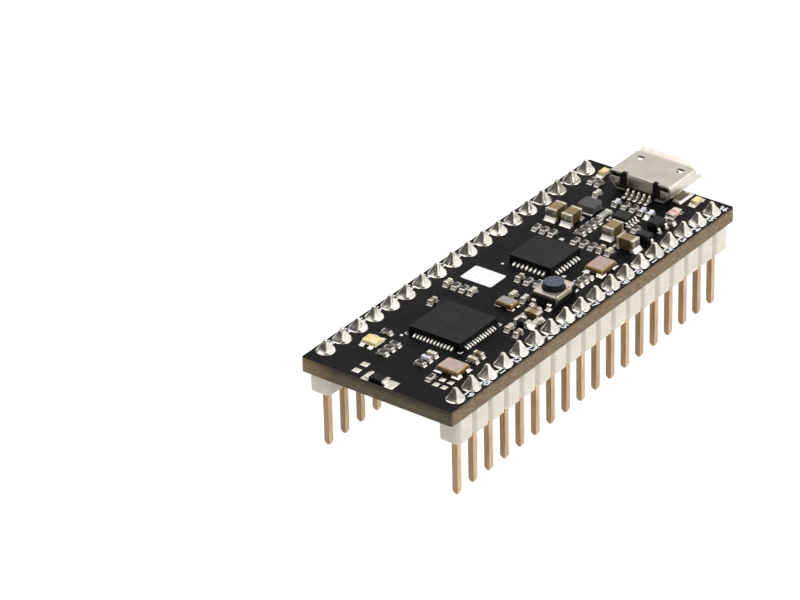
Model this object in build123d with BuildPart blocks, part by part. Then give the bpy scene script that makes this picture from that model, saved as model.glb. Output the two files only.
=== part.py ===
from build123d import *
from collections import namedtuple
import os

os.makedirs("parts", exist_ok=True)

# 36-pin microcontroller development board, millimetres, +Z up.
# Origin: centre of the two pin rows, in the plane on which the two header
# insulators sit down on a socket.  +X runs along the board to the USB socket,
# the "right" header is on the -Y side and the "left" one on the +Y side.

# A box-shaped part: centre, size along X and Y, top height above the board or own height.
Block = namedtuple("Block", "x y dx dy height")
# A square leadless chip with rows of flat leads on all four sides.
SquareChip = namedtuple(
    "SquareChip", "x y size height pitch per_side land_length land_width heat_pad")

STANDING = (Align.CENTER, Align.CENTER, Align.MIN)   # centred in plan, standing on z
FORWARD = (Align.MIN, Align.CENTER, Align.MIN)       # starts at x, standing on z


def save(name, part):
    """Label a part and write its STEP file."""
    part.label = name
    export_step(part, f"parts/{name}.step")


def repeated(unit, places):
    """Copies of one solid at the given places."""
    with BuildPart() as made:
        with Locations(*places):
            add(unit)
    return made.part


# ---------------------------------------------------------------------------
# driving dimensions
# ---------------------------------------------------------------------------
# header pins and insulators
pitch = 2.54
pins_per_row = 18
row_spacing = 15.24
pin_w = 0.64
pin_bottom = -6.30
pin_above_board = 1.25
insulator_h = 2.54
insulator_w = 2.50

# printed board
board_l, board_w, board_t = 47.7, 17.7, 1.60
corner_r = 0.3
mask_t = 0.03
mask_gap = 0.03       # bare margin around each land
pad_proud = 0.01      # copper above the mask
drill_r = 0.51
barrel_r = 0.47       # bore of the plating
ring_r = 0.95

# levels
board_top = insulator_h + board_t       # upper face of the solder mask
pad_top = board_top + pad_proud         # upper face of the lands
core_bottom = insulator_h + mask_t      # lower face of the laminate
core_top = board_top - mask_t           # upper face of the laminate


def pin_row(side):
    """Pin centres of the row on one side: -1 right, 1 left."""
    return [((i - (pins_per_row - 1) / 2) * pitch, side * row_spacing / 2)
            for i in range(pins_per_row)]


pin_places = pin_row(-1) + pin_row(1)

# ---------------------------------------------------------------------------
# component placement
# ---------------------------------------------------------------------------
# square leadless chips
mcu = SquareChip(-11.50, 0.05, size=6.0, height=0.85, pitch=0.40, per_side=12,
                 land_length=0.70, land_width=0.22, heat_pad=4.2)
usb_bridge = SquareChip(4.54, 0.69, size=5.0, height=0.85, pitch=0.50, per_side=8,
                        land_length=0.76, land_width=0.26, heat_pad=3.3)

# Two-ended chip sizes: (length, width, height)
small_size = (1.00, 0.50, 0.50)
resistor_size = (1.00, 0.50, 0.33)
bulk_size = (2.00, 1.25, 1.25)
mid_size = (1.60, 0.80, 0.80)
fuse_size = (1.60, 0.95, 0.45)
shunt_size = (1.80, 0.72, 0.32)
diode_size = (1.60, 0.80, 0.55)
end_chip_size = (2.20, 1.00, 0.40)
status_size = (1.60, 0.75, 0.45)

# Two-ended chip places: (x, y, axis of the long side)
brown_caps = [
    (-14.20, -4.95, "y"), (-8.65, 4.60, "x"), (-8.90, -5.70, "x"),
    (-0.20, 0.30, "x"), (8.95, -2.98, "x"), (-4.25, -4.50, "y")]
pale_caps = [
    (-16.70, -1.30, "y"), (-15.30, -5.05, "y"), (-4.95, 5.45, "x"), (-4.95, 2.55, "x"),
    (-3.25, -1.08, "x"), (-3.25, -2.45, "x"), (8.95, -3.95, "x"), (-8.55, -4.42, "x"),
    (-6.30, -6.00, "x"), (18.00, 3.75, "x")]
resistors = [
    (-19.05, 2.75, "y"), (-18.05, 2.75, "y"), (-17.10, 2.75, "y"), (-15.75, 4.75, "y"),
    (-18.55, -1.30, "y"), (-20.05, -3.65, "x"), (-4.95, 4.50, "x"), (-4.95, 3.55, "x"),
    (-0.20, -0.75, "x"), (0.00, -1.75, "x"), (2.10, -4.95, "y"), (2.95, -4.95, "y"),
    (3.80, -4.95, "y"), (8.95, 4.80, "x"), (8.95, 3.85, "x"), (8.95, 2.85, "x"),
    (8.95, 0.10, "x"), (8.95, -0.95, "x"), (8.95, -1.95, "x"), (10.55, 0.65, "y"),
    (11.50, 0.65, "y"), (12.40, 0.65, "y"), (13.35, 0.65, "y"), (17.65, 0.05, "x"),
    (17.65, -0.98, "x"), (14.25, -3.50, "x"), (20.00, 5.75, "x"), (19.95, 4.85, "x"),
    (17.35, -5.50, "y")]
beads = [(17.55, 1.10, "x"), (17.50, -2.03, "x"), (17.50, -2.98, "x"), (-17.60, -1.30, "y")]
bulk_caps = [(12.15, 4.65, "x"), (12.15, 2.78, "x"), (12.20, -2.15, "x"), (10.95, -4.80, "y")]
mid_caps = [(-5.45, -5.00, "y")]
fuses = [(19.00, -4.85, "x")]
shunts = [(14.95, 0.78, "x")]
diodes = [(-7.05, -4.90, "y")]
end_chips = [(-23.05, 0.25, "y")]
status_leds = [(22.10, 5.75, "x"), (22.40, -5.30, "x")]

rgb_led = Block(-17.85, 4.90, 1.50, 1.80, 0.42)
crystals = [Block(-17.65, -4.45, 2.00, 2.50, 0.62), Block(-4.95, -1.62, 1.30, 1.95, 0.58),
            Block(5.95, -4.98, 2.50, 2.05, 0.68)]
inductor = Block(15.15, 2.65, 1.95, 1.95, 0.90)

# Moulded chips with formed leads.  A lead root is (x, y, side): the point on
# the body edge where the lead comes out, and its direction along Y.
regulator = Block(15.15, -1.32, 1.60, 1.75, 0.75)
regulator_lead_pitch = 0.50
regulator_roots = [
    (regulator.x + (i - 1.5) * regulator_lead_pitch, regulator.y + side * regulator.dy / 2, side)
    for side in (-1, 1) for i in range(4)]

three_lead = Block(15.80, -4.88, 1.70, 1.25, 0.95)
two_lead = Block(13.00, -5.38, 1.10, 1.55, 0.90)
transistor_roots = [
    (body.x + across, body.y + side * body.dy / 2, side)
    for body, across, side in [(three_lead, -0.60, -1), (three_lead, 0.60, -1),
                               (three_lead, 0, 1), (two_lead, 0, -1), (two_lead, 0, 1)]]

# press switch
switch_x, switch_y = -1.15, -4.40
switch_l, switch_w = 3.80, 2.70
switch_leads = [(side, y) for side in (-1, 1) for y in (0.88, -0.92)]   # (X side, y offset)

# USB socket: closed rear end at usb_rear, open mouth at usb_mouth
usb_rear, usb_mouth = 20.05, 24.75
usb_half_w = 3.70
usb_tab_x = 22.35
usb_ys = [(2 - i) * 0.65 for i in range(5)]          # five contacts at 0.65 pitch


# ---------------------------------------------------------------------------
# copper lands: (x, y, dx, dy)
# ---------------------------------------------------------------------------
def end_wrap(size):
    """Length of the metal end of a chip."""
    return 0.25 if size[0] <= 1.2 else 0.36


def chip_lands(chips, size, reach, margin=0.04):
    """Lands under the two ends of each chip, running out by reach."""
    length, width, _ = size
    land_l = end_wrap(size) + reach + 0.05
    land_w = width + 2 * margin
    centre = length / 2 + reach - land_l / 2
    found = []
    for x, y, along in chips:
        for s in (-1, 1):
            if along == "x":
                found.append((x + s * centre, y, land_l, land_w))
            else:
                found.append((x, y + s * centre, land_w, land_l))
    return found


def lead_spots(chip, outward):
    """Places along the sides of a square chip, outward from its edges.

    Returns those on the two X sides, then those on the two Y sides.
    """
    radius = chip.size / 2 + outward
    steps = [(i - (chip.per_side - 1) / 2) * chip.pitch for i in range(chip.per_side)]
    return ([(chip.x + s * radius, chip.y + step) for step in steps for s in (-1, 1)],
            [(chip.x + step, chip.y + s * radius) for step in steps for s in (-1, 1)])


lands = chip_lands(brown_caps + pale_caps + resistors + beads, small_size, reach=0.18)
lands += chip_lands(bulk_caps, bulk_size, reach=0.42, margin=0.06)
lands += chip_lands(mid_caps, mid_size, reach=0.28)
lands += chip_lands(fuses, fuse_size, reach=0.25)
lands += chip_lands(shunts, shunt_size, reach=0.15)
lands += chip_lands(status_leds, status_size, reach=0.25)
lands += chip_lands(diodes, diode_size, reach=0.20)
for chip in (mcu, usb_bridge):
    x_side, y_side = lead_spots(chip, outward=0.12)
    lands += [(x, y, chip.land_length, chip.land_width) for x, y in x_side]
    lands += [(x, y, chip.land_width, chip.land_length) for x, y in y_side]
# crystal corners
lands += [(c.x + sx * (c.dx / 2 - 0.20), c.y + sy * (c.dy / 2 - 0.22), 0.38 * c.dx, 0.36 * c.dy)
          for c in crystals for sx in (-1, 1) for sy in (-1, 1)]
# bare lands
lands += [
    (-22.80, 3.00, 0.75, 0.80), (-21.50, 3.00, 0.75, 0.80),
    (-20.60, -4.65, 0.66, 0.60), (-19.55, -4.65, 0.66, 0.60),
    (-20.60, -5.60, 0.66, 0.60), (-19.55, -5.60, 0.66, 0.60),
    (2.75, -2.85, 0.42, 0.42), (8.65, 1.55, 0.42, 0.50), (-5.70, -3.82, 0.80, 0.42),
    (14.45, 4.35, 0.60, 0.45), (16.72, -2.86, 0.50, 0.38)]
# chip at the -X end of the board
lands += [(-22.98, 1.45, 1.56, 0.85), (-23.05, -1.30, 1.40, 1.00)]
# colour LED, switch, regulator, transistors, coil
lands += [(rgb_led.x + sx * 0.95, rgb_led.y + sy * 0.50, 0.60, 0.52)
          for sx in (-1, 1) for sy in (-1, 1)]
lands += [(switch_x + side * (switch_l / 2 + 0.30), switch_y + y, 0.70, 0.62)
          for side, y in switch_leads]
lands += [(x, y + side * 0.28, 0.30, 0.62) for x, y, side in regulator_roots]
lands += [(x, y + side * 0.20, 0.46, 0.46) for x, y, side in transistor_roots]
lands += [(inductor.x + s * 0.72, inductor.y, 0.62, 1.70) for s in (-1, 1)]
# USB contacts and side tabs
lands += [(19.55, y, 1.20, 0.36) for y in usb_ys]
lands += [(usb_tab_x, s * usb_half_w, 2.50, 1.10) for s in (-1, 1)]

# lands of one size share one entry: (dx, dy) -> [(x, y), ...]
land_groups = {}
for x, y, dx, dy in lands:
    land_groups.setdefault((round(dx, 3), round(dy, 3)), []).append((x, y))

# ---------------------------------------------------------------------------
# printed board
# ---------------------------------------------------------------------------
with BuildPart() as pcb_core:
    with BuildSketch(Plane.XY.offset(core_bottom)):
        RectangleRounded(board_l, board_w, corner_r)
        with Locations(*pin_places):
            Circle(drill_r, mode=Mode.SUBTRACT)
    extrude(amount=core_top - core_bottom)
save("pcb_core", pcb_core.part)


def solder_mask(bottom, openings):
    """Mask layer, open around the copper rings and the grouped lands."""
    with BuildPart() as mask:
        with BuildSketch(Plane.XY.offset(bottom)):
            RectangleRounded(board_l, board_w, corner_r)
            with Locations(*pin_places):
                Circle(ring_r + mask_gap, mode=Mode.SUBTRACT)
            for (dx, dy), spots in openings.items():
                with Locations(*spots):
                    Rectangle(dx + 2 * mask_gap, dy + 2 * mask_gap, mode=Mode.SUBTRACT)
        extrude(amount=mask_t)
    return mask.part


save("solder_mask_top", solder_mask(core_top, land_groups))
save("solder_mask_bottom", solder_mask(insulator_h, {}))

with BuildPart() as smd_pads:
    with BuildSketch(Plane.XY.offset(core_top)):
        for (dx, dy), spots in land_groups.items():
            with Locations(*spots):
                Rectangle(dx, dy)
    extrude(amount=pad_top - core_top)
save("smd_pads", smd_pads.part)

# One plated hole: barrel with a copper ring on each face.
ring_bottom = insulator_h + 0.005     # just clear of the header insulator
with BuildPart() as plated_hole:
    with BuildSketch(Plane.XZ):
        with BuildLine():
            Polyline((barrel_r, ring_bottom), (ring_r, ring_bottom), (ring_r, core_bottom),
                     (drill_r, core_bottom), (drill_r, core_top), (ring_r, core_top),
                     (ring_r, pad_top), (barrel_r, pad_top), close=True)
        make_face()
    revolve(axis=Axis.Z)
save("plated_holes", repeated(plated_hole.part, pin_places))

# ---------------------------------------------------------------------------
# headers: break-away insulator strips, square pins, solder
# ---------------------------------------------------------------------------
notch = 0.42                          # corner cut between insulator segments
pin_hole_w = pin_w + 2 * 0.01
half_l, half_w = pitch / 2, insulator_w / 2
segment = [
    (-half_l, -half_w + notch), (-half_l + notch, -half_w),
    (half_l - notch, -half_w), (half_l, -half_w + notch),
    (half_l, half_w - notch), (half_l - notch, half_w),
    (-half_l + notch, half_w), (-half_l, half_w - notch)]


def insulator_strip(places):
    """A row of joined eight-sided segments with square pin holes."""
    with BuildPart() as strip:
        with BuildSketch(Plane.XY):
            with Locations(*places):
                Polygon(*segment, align=None)
                Rectangle(pin_hole_w, pin_hole_w, mode=Mode.SUBTRACT)
        extrude(amount=insulator_h)
    return strip.part


with BuildPart() as pin:
    with BuildSketch(Plane.XY.offset(pin_bottom)):
        Rectangle(pin_w, pin_w)
    extrude(amount=board_top + pin_above_board - pin_bottom)
    chamfer(pin.edges().group_by(Axis.Z)[0], length=0.16)
    chamfer(pin.edges().group_by(Axis.Z)[-1], length=0.12)

# Solder fills the plated barrel and climbs the pin as a concave cone.
solder_bottom = core_bottom + 0.02
solder_top = board_top + 1.05
plug_r = barrel_r - 0.005
foot_r = ring_r - 0.02
solder_bore_w = pin_w + 0.004
with BuildPart() as solder_joint:
    with BuildSketch(Plane.XZ):
        with BuildLine():
            foot = Polyline((0, solder_bottom), (plug_r, solder_bottom), (plug_r, pad_top),
                            (foot_r, pad_top), (foot_r, pad_top + 0.03))
            climb = ThreePointArc(foot @ 1, (0.66, board_top + 0.42), (0.50, solder_top))
            Polyline(climb @ 1, (0, solder_top), foot @ 0)
        make_face()
    revolve(axis=Axis.Z)
    with BuildSketch(Plane.XY):
        Rectangle(solder_bore_w, solder_bore_w)
    extrude(amount=board_top + 3, mode=Mode.SUBTRACT)

for hand, side in (("right", -1), ("left", 1)):
    save(f"header_insulator_{hand}", insulator_strip(pin_row(side)))
    save(f"header_pins_{hand}", repeated(pin.part, pin_row(side)))
    save(f"solder_joints_{hand}", repeated(solder_joint.part, pin_row(side)))


# ---------------------------------------------------------------------------
# square leadless chips: moulded body over flat leads and a heat pad
# ---------------------------------------------------------------------------
flat_lead_l, flat_lead_t = 0.40, 0.20


def flat_leads(chip):
    """Leads flush with the chip's edges, and the heat pad at its centre."""
    x_side, y_side = lead_spots(chip, outward=-flat_lead_l / 2)
    lead_w = chip.pitch * 0.5
    with BuildPart() as leads:
        with BuildSketch(Plane.XY.offset(pad_top)):
            with Locations(*x_side):
                Rectangle(flat_lead_l, lead_w)
            with Locations(*y_side):
                Rectangle(lead_w, flat_lead_l)
            with Locations((chip.x, chip.y)):
                Rectangle(chip.heat_pad, chip.heat_pad)
        extrude(amount=flat_lead_t)
    return leads.part


def moulded_body(block, gap, bevel, leads):
    """Body held off the board by gap, top edges bevelled, cut to fit its leads."""
    with BuildPart() as body:
        with BuildSketch(Plane.XY.offset(board_top + gap)):
            with Locations((block.x, block.y)):
                Rectangle(block.dx, block.dy)
        extrude(amount=block.height - gap)
        chamfer(body.edges().group_by(Axis.Z)[-1], length=bevel)
        add(leads, mode=Mode.SUBTRACT)
    return body.part


for name, chip in (("mcu", mcu), ("usb_bridge", usb_bridge)):
    leads = flat_leads(chip)
    block = Block(chip.x, chip.y, chip.size, chip.size, chip.height)
    save(f"{name}_leads", leads)
    save(f"{name}_body", moulded_body(block, gap=0.03, bevel=0.03, leads=leads))


# ---------------------------------------------------------------------------
# small moulded chips with formed leads
# ---------------------------------------------------------------------------
def formed_leads(roots, reach, rise, thick, width):
    """One bent lead at each root, leaving the body at height rise, foot on the land."""
    high = board_top + rise
    profile = [
        (-0.25, high), (0.12, high), (0.22, pad_top + thick), (reach, pad_top + thick),
        (reach, pad_top), (0.14, pad_top), (0.04, high - thick), (-0.25, high - thick)]
    with BuildPart() as lead:
        with BuildSketch(Plane.XZ.offset(-width / 2)):
            Polygon(*profile, align=None)
        extrude(amount=width)
    return repeated(lead.part, [Location((x, y, 0), (0, 0, 90 * side)) for x, y, side in roots])


regulator_leads = formed_leads(regulator_roots, reach=0.52, rise=0.40, thick=0.10, width=0.24)
save("regulator_leads", regulator_leads)
save("regulator_body", moulded_body(regulator, gap=0.06, bevel=0.06, leads=regulator_leads))

transistor_leads = formed_leads(transistor_roots, reach=0.42, rise=0.45, thick=0.12, width=0.36)
save("transistor_leads", transistor_leads)

transistor_gap = 0.08
with BuildPart() as transistor_bodies:
    for body in (three_lead, two_lead):
        with BuildSketch(Plane.XY.offset(board_top + transistor_gap)):
            with Locations((body.x, body.y)):
                Rectangle(body.dx, body.dy)
        extrude(amount=body.height - transistor_gap)
    # the highest faces only, so just the taller body is bevelled
    chamfer(transistor_bodies.faces().filter_by(Axis.Z).group_by(Axis.Z)[-1].edges(), length=0.08)
    add(transistor_leads, mode=Mode.SUBTRACT)
save("transistor_bodies", transistor_bodies.part)

# ---------------------------------------------------------------------------
# crystals: ceramic tub, plated seal ring, metal lid
# ---------------------------------------------------------------------------
crystal_gap = 0.02                                  # between lands and tub
tub_share, ring_share, lid_share = 0.62, 0.20, 0.18  # shares of the height


def crystal_layer(start, share, inset, corner):
    """One layer of every crystal; start and share are fractions of its height."""
    with BuildPart() as layer:
        for crystal in crystals:
            bottom = pad_top + crystal_gap + crystal.height * start
            with BuildSketch(Plane.XY.offset(bottom)):
                with Locations((crystal.x, crystal.y)):
                    RectangleRounded(crystal.dx - 2 * inset, crystal.dy - 2 * inset, corner)
            extrude(amount=crystal.height * share)
    return layer.part


save("crystal_bases", crystal_layer(0, tub_share, inset=0, corner=0.12))
save("crystal_seal_rings", crystal_layer(tub_share, ring_share, inset=0.05, corner=0.12))
save("crystal_lids", crystal_layer(tub_share + ring_share, lid_share, inset=0.15, corner=0.15))

# ---------------------------------------------------------------------------
# two-ended chips: ceramic bodies and metal ends
# ---------------------------------------------------------------------------
end_metal = 0.04      # metal beyond each end of the ceramic
side_metal = 0.02     # metal over its sides, top and bottom


def seats(chips, z):
    """One location for each chip, its long side turned to the wanted axis."""
    return [Location((x, y, z), (0, 0, 90 if along == "y" else 0)) for x, y, along in chips]


def ceramic_size(size):
    """Box dimensions of the ceramic inside the metal ends."""
    length, width, height = size
    return length - 2 * end_metal, width - 2 * side_metal, height - 2 * side_metal


def chip_bodies(chips, size):
    """Ceramic blocks, one for each chip."""
    with BuildPart() as made:
        with Locations(*seats(chips, pad_top + side_metal)):
            Box(*ceramic_size(size), align=STANDING)
    return made.part


def chip_ends(chips, size):
    """Cup-shaped metal ends that wrap the ceramic blocks."""
    length, width, height = size
    wrap = end_wrap(size)
    centre = (length - wrap) / 2
    with BuildPart() as made:
        with Locations(*seats(chips, pad_top)):
            with Locations((-centre, 0, 0), (centre, 0, 0)):
                Box(wrap, width, height, align=STANDING)
        with Locations(*seats(chips, pad_top + side_metal)):
            Box(*ceramic_size(size), align=STANDING, mode=Mode.SUBTRACT)
    return made.part


# (piece, what to make, the (chips, size) groups in it)
chip_pieces = [
    ("bulk_capacitor_bodies", chip_bodies, [(bulk_caps, bulk_size), (mid_caps, mid_size)]),
    ("bulk_capacitor_ends", chip_ends, [(bulk_caps, bulk_size), (mid_caps, mid_size)]),
    ("brown_capacitor_bodies", chip_bodies, [(brown_caps, small_size)]),
    ("pale_capacitor_bodies", chip_bodies, [(pale_caps, small_size)]),
    ("small_capacitor_ends", chip_ends, [(brown_caps + pale_caps, small_size)]),
    ("resistor_bodies", chip_bodies, [(resistors, resistor_size)]),
    ("resistor_ends", chip_ends, [(resistors, resistor_size)]),
    ("ferrite_bead_bodies", chip_bodies, [(beads, small_size)]),
    ("ferrite_bead_ends", chip_ends, [(beads, small_size)]),
    ("shunt_body", chip_bodies, [(shunts, shunt_size)]),
    ("fuse_body", chip_bodies, [(fuses, fuse_size)]),
    ("diode_body", chip_bodies, [(diodes, diode_size)]),
    ("end_chip_body", chip_bodies, [(end_chips, end_chip_size)]),
    ("misc_chip_ends", chip_ends, [(shunts, shunt_size), (fuses, fuse_size),
                                   (diodes, diode_size), (end_chips, end_chip_size)])]
for name, make, groups in chip_pieces:
    with BuildPart() as piece:
        for chips, size in groups:
            add(make(chips, size))
    save(name, piece.part)

# thin coat over the top of each resistor, between its metal ends
with BuildPart() as resistor_overcoats:
    with Locations(*seats(resistors, pad_top + resistor_size[2] - side_metal)):
        Box(0.46, 0.42, 0.025, align=STANDING)
save("resistor_overcoats", resistor_overcoats.part)

# ---------------------------------------------------------------------------
# power coil
# ---------------------------------------------------------------------------
terminal_l, terminal_w, terminal_t = 0.50, 1.60, 0.10
terminal_out = inductor.dx / 2 - terminal_l / 2     # terminals flush with the body ends
with BuildPart() as inductor_terminals:
    with Locations(*[(inductor.x + s * terminal_out, inductor.y, pad_top) for s in (-1, 1)]):
        Box(terminal_l, terminal_w, terminal_t, align=STANDING)
save("inductor_terminals", inductor_terminals.part)

with BuildPart() as inductor_body:
    with BuildSketch(Plane.XY.offset(pad_top + terminal_t)):
        with Locations((inductor.x, inductor.y)):
            RectangleRounded(inductor.dx, inductor.dy, 0.30)
    extrude(amount=inductor.height - pad_proud - terminal_t)
    chamfer(inductor_body.edges().group_by(Axis.Z)[-1], length=0.06)
save("inductor_body", inductor_body.part)

# ---------------------------------------------------------------------------
# indicator lamps
# ---------------------------------------------------------------------------
led_base_t = 0.14
with BuildPart() as rgb_led_base:
    with BuildSketch(Plane.XY.offset(pad_top)):
        with Locations((rgb_led.x, rgb_led.y)):
            Rectangle(rgb_led.dx, rgb_led.dy)
    extrude(amount=led_base_t)
save("rgb_led_base", rgb_led_base.part)

with BuildPart() as rgb_led_lens:
    with BuildSketch(Plane.XY.offset(pad_top + led_base_t)):
        with Locations((rgb_led.x, rgb_led.y)):
            Rectangle(rgb_led.dx - 0.12, rgb_led.dy - 0.10)
    extrude(amount=rgb_led.height - pad_proud - led_base_t)
    chamfer(rgb_led_lens.edges().group_by(Axis.Z)[-1], length=0.07)
save("rgb_led_lens", rgb_led_lens.part)

status_l, status_w, status_h = status_size
bare_end = 0.22       # base left uncovered at each end of the lens
with BuildPart() as status_led_bases:
    with Locations(*seats(status_leds, pad_top)):
        Box(status_l, status_w, led_base_t, align=STANDING)
save("status_led_bases", status_led_bases.part)

with BuildPart() as status_led_lenses:
    with Locations(*seats(status_leds, pad_top + led_base_t)):
        Box(status_l - 2 * bare_end, status_w, status_h - led_base_t, align=STANDING)
    chamfer(status_led_lenses.edges().group_by(Axis.Z)[-1], length=0.06)
save("status_led_lenses", status_led_lenses.part)

# ---------------------------------------------------------------------------
# press switch: moulded base, snap dome, plunger, cover plate, formed leads
# (heights are above the board unless said otherwise)
# ---------------------------------------------------------------------------
base_gap, base_h = 0.04, 1.00
cover_l, cover_w, cover_t = 3.50, 2.55, 0.20
clip_x, clip_l, clip_bottom = 1.45, 0.50, 0.30
plunger_r, plunger_top = 1.05, 1.85
plunger_bore_r = 1.09
flange_r, flange_bottom, flange_top = 1.20, 0.78, 0.95
dome_r, dome_h, dome_t = 1.25, 0.40, 0.05
dome_seat = board_top + 0.37          # absolute height of the dome's rim

with BuildPart() as switch_base:
    with BuildSketch(Plane.XY.offset(board_top + base_gap)):
        with Locations((switch_x, switch_y)):
            RectangleRounded(switch_l, switch_w, 0.15)
    extrude(amount=base_h - base_gap)
    # round well for the dome and plunger flange
    with BuildSketch(Plane.XY.offset(dome_seat - 0.01)):
        with Locations((switch_x, switch_y)):
            Circle(dome_r + 0.10)
    extrude(amount=base_h, mode=Mode.SUBTRACT)
save("switch_base", switch_base.part)

# Two clips at opposite corners fold down over the long sides of the base;
# a short bridge joins each to the plate.
clip_places = [(switch_x + s * clip_x, switch_y + s * (switch_w / 2 + 0.06),
                board_top + clip_bottom) for s in (-1, 1)]
bridge_lift = 0.04
bridge_places = [(switch_x + s * clip_x, switch_y + s * switch_w / 2,
                  board_top + base_h + bridge_lift) for s in (-1, 1)]
with BuildPart() as switch_cover:
    with BuildSketch(Plane.XY.offset(board_top + base_h)):
        with Locations((switch_x, switch_y)):
            RectangleRounded(cover_l, cover_w, 0.18)
            Circle(plunger_bore_r, mode=Mode.SUBTRACT)
    extrude(amount=cover_t)
    with Locations(*clip_places):
        Box(clip_l, 0.10, base_h + cover_t - clip_bottom, align=STANDING)
    with Locations(*bridge_places):
        Box(clip_l, 0.22, cover_t - bridge_lift, align=STANDING)
save("switch_cover", switch_cover.part)

with BuildPart() as switch_plunger:
    with BuildSketch(Plane.XY.offset(board_top + flange_bottom)):
        with Locations((switch_x, switch_y)):
            Circle(flange_r)
    extrude(amount=flange_top - flange_bottom)
    with BuildSketch(Plane.XY.offset(board_top + flange_top)):
        with Locations((switch_x, switch_y)):
            Circle(plunger_r)
    extrude(amount=plunger_top - flange_top)
    chamfer(switch_plunger.edges().group_by(Axis.Z)[-1], length=0.06)
save("switch_plunger", switch_plunger.part)

# Snap dome: a thin cap with a flat crown and two conical steps, resting on its
# rim.  Profile points: (radius, height above the rim).
shoulder_h = dome_h - 0.13
dome_profile = [
    (0, dome_h), (0.30, dome_h), (0.85, shoulder_h), (dome_r, 0.05), (dome_r, 0),
    (dome_r - 0.12, 0), (0.83, shoulder_h - dome_t), (0.28, dome_h - dome_t),
    (0, dome_h - dome_t)]
with BuildPart() as dome:
    with BuildSketch(Plane.XZ):
        Polygon(*[(r, dome_seat + z) for r, z in dome_profile], align=None)
    revolve(axis=Axis.Z)
save("switch_dome", repeated(dome.part, [(switch_x, switch_y, 0)]))

# L-shaped terminals: an upright against the base and a foot running outward
with BuildPart() as switch_terminals:
    for side, y in switch_leads:
        root = (switch_x + side * switch_l / 2, switch_y + y, 0)
        with Locations(Location(root, (0, 0, 0 if side > 0 else 180))):
            with Locations((0.005, 0, pad_top)):
                Box(0.14, 0.50, 0.42, align=FORWARD)
                Box(0.58, 0.50, 0.14, align=FORWARD)
save("switch_terminals", switch_terminals.part)

# ---------------------------------------------------------------------------
# USB socket: folded steel shell, moulded block with tongue, five contacts
# ---------------------------------------------------------------------------
usb_wall = 0.25
usb_clear = 0.02                      # between shell and moulded block
usb_h = 2.20                          # top of the shell above the board
usb_roof = board_top + usb_h
usb_l = usb_mouth - usb_rear

# Outer section of the shell before rounding: (y, z)
usb_outline = [
    (-usb_half_w, board_top + 0.95), (-usb_half_w, usb_roof), (usb_half_w, usb_roof),
    (usb_half_w, board_top + 0.95), (2.85, board_top + 0.10), (-2.85, board_top + 0.10)]

# Flared lips, side view: (x past the mouth, z above the board)
upper_lip = [(-0.15, usb_h - 0.24), (-0.15, usb_h), (0.62, usb_h + 0.34), (0.68, usb_h + 0.12)]
lower_lip = [(-0.15, 0.34), (-0.15, 0.10), (0.56, -0.22), (0.64, 0)]
# Side lips, plan view: (x past the mouth, y beyond the side of the shell)
side_lip = [(-0.15, -0.24), (-0.15, 0), (0.55, 0.28), (0.62, 0.05)]


def usb_prism(start, length, inset=0):
    """Solid with the rounded section of the shell, shrunk by inset, running along +X."""
    with BuildPart() as prism:
        with BuildSketch(Plane.YZ.offset(start)) as section:
            Polygon(*usb_outline, align=None)
            fillet(section.vertices(), radius=0.35)
            if inset:
                offset(amount=-inset, kind=Kind.INTERSECTION, mode=Mode.REPLACE)
        extrude(amount=length)
    return prism.part


with BuildPart() as usb_shell:
    add(usb_prism(usb_rear, usb_l))
    add(usb_prism(usb_rear - 1, usb_l + 3, inset=usb_wall), mode=Mode.SUBTRACT)
    # rear flap and the two side wings that close the back
    with Locations((usb_rear, 0, board_top + 0.80)):
        Box(usb_wall, 3.10, usb_h - 0.85, align=FORWARD)
    with Locations(*[(usb_rear, s * 2.975, board_top + 0.66) for s in (-1, 1)]):
        Box(usb_wall, 1.05, 0.86, align=FORWARD)
    # relief slots where the rear flap is folded
    with Locations(*[(usb_rear, s * 1.875, usb_roof - 0.40) for s in (-1, 1)]):
        Box(0.42, 0.65, 0.60, align=FORWARD, mode=Mode.SUBTRACT)
    # floor opening for the contact tails
    with Locations((usb_rear - 0.1, 0, board_top)):
        Box(1.30, 3.60, 0.60, align=FORWARD, mode=Mode.SUBTRACT)
    # latch windows in the roof
    with Locations(*[(23.64, s * 2.40, usb_roof) for s in (-1, 1)]):
        Box(0.80, 0.80, 1.0, mode=Mode.SUBTRACT)
    # solder tabs at the sides
    with Locations(*[(usb_tab_x, s * 3.50, board_top + 0.02) for s in (-1, 1)]):
        Box(2.40, 1.30, 0.22, align=STANDING)
    # flared mouth: one lip above, one below, one at each side
    for lip, width in ((upper_lip, 6.44), (lower_lip, 4.60)):
        with BuildSketch(Plane.XZ.offset(-width / 2)):
            Polygon(*[(usb_mouth + x, board_top + z) for x, z in lip], align=None)
        extrude(amount=width)
    for s in (-1, 1):
        with BuildSketch(Plane.XY.offset(board_top + 1.00)):
            Polygon(*[(usb_mouth + x, s * (usb_half_w + y)) for x, y in side_lip], align=None)
        extrude(amount=0.85)
save("usb_shell", usb_shell.part)

# Contact side view (x, z): tail on the land, riser, then blade under the tongue's mid-height
contact_w = 0.25
contact_profile = [
    (19.05, pad_top), (19.05, pad_top + 0.15), (19.85, pad_top + 0.15),
    (20.05, pad_top + 0.36), (20.60, pad_top + 0.36), (20.60, board_top + 1.26),
    (24.00, board_top + 1.26), (24.00, board_top + 1.12), (20.75, board_top + 1.12),
    (20.75, pad_top + 0.21), (20.12, pad_top + 0.21), (19.93, pad_top)]
with BuildPart() as usb_contacts:
    for y in usb_ys:
        with BuildSketch(Plane.XZ.offset(-y - contact_w / 2)):
            Polygon(*contact_profile, align=None)
        extrude(amount=contact_w)
save("usb_contacts", usb_contacts.part)

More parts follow.
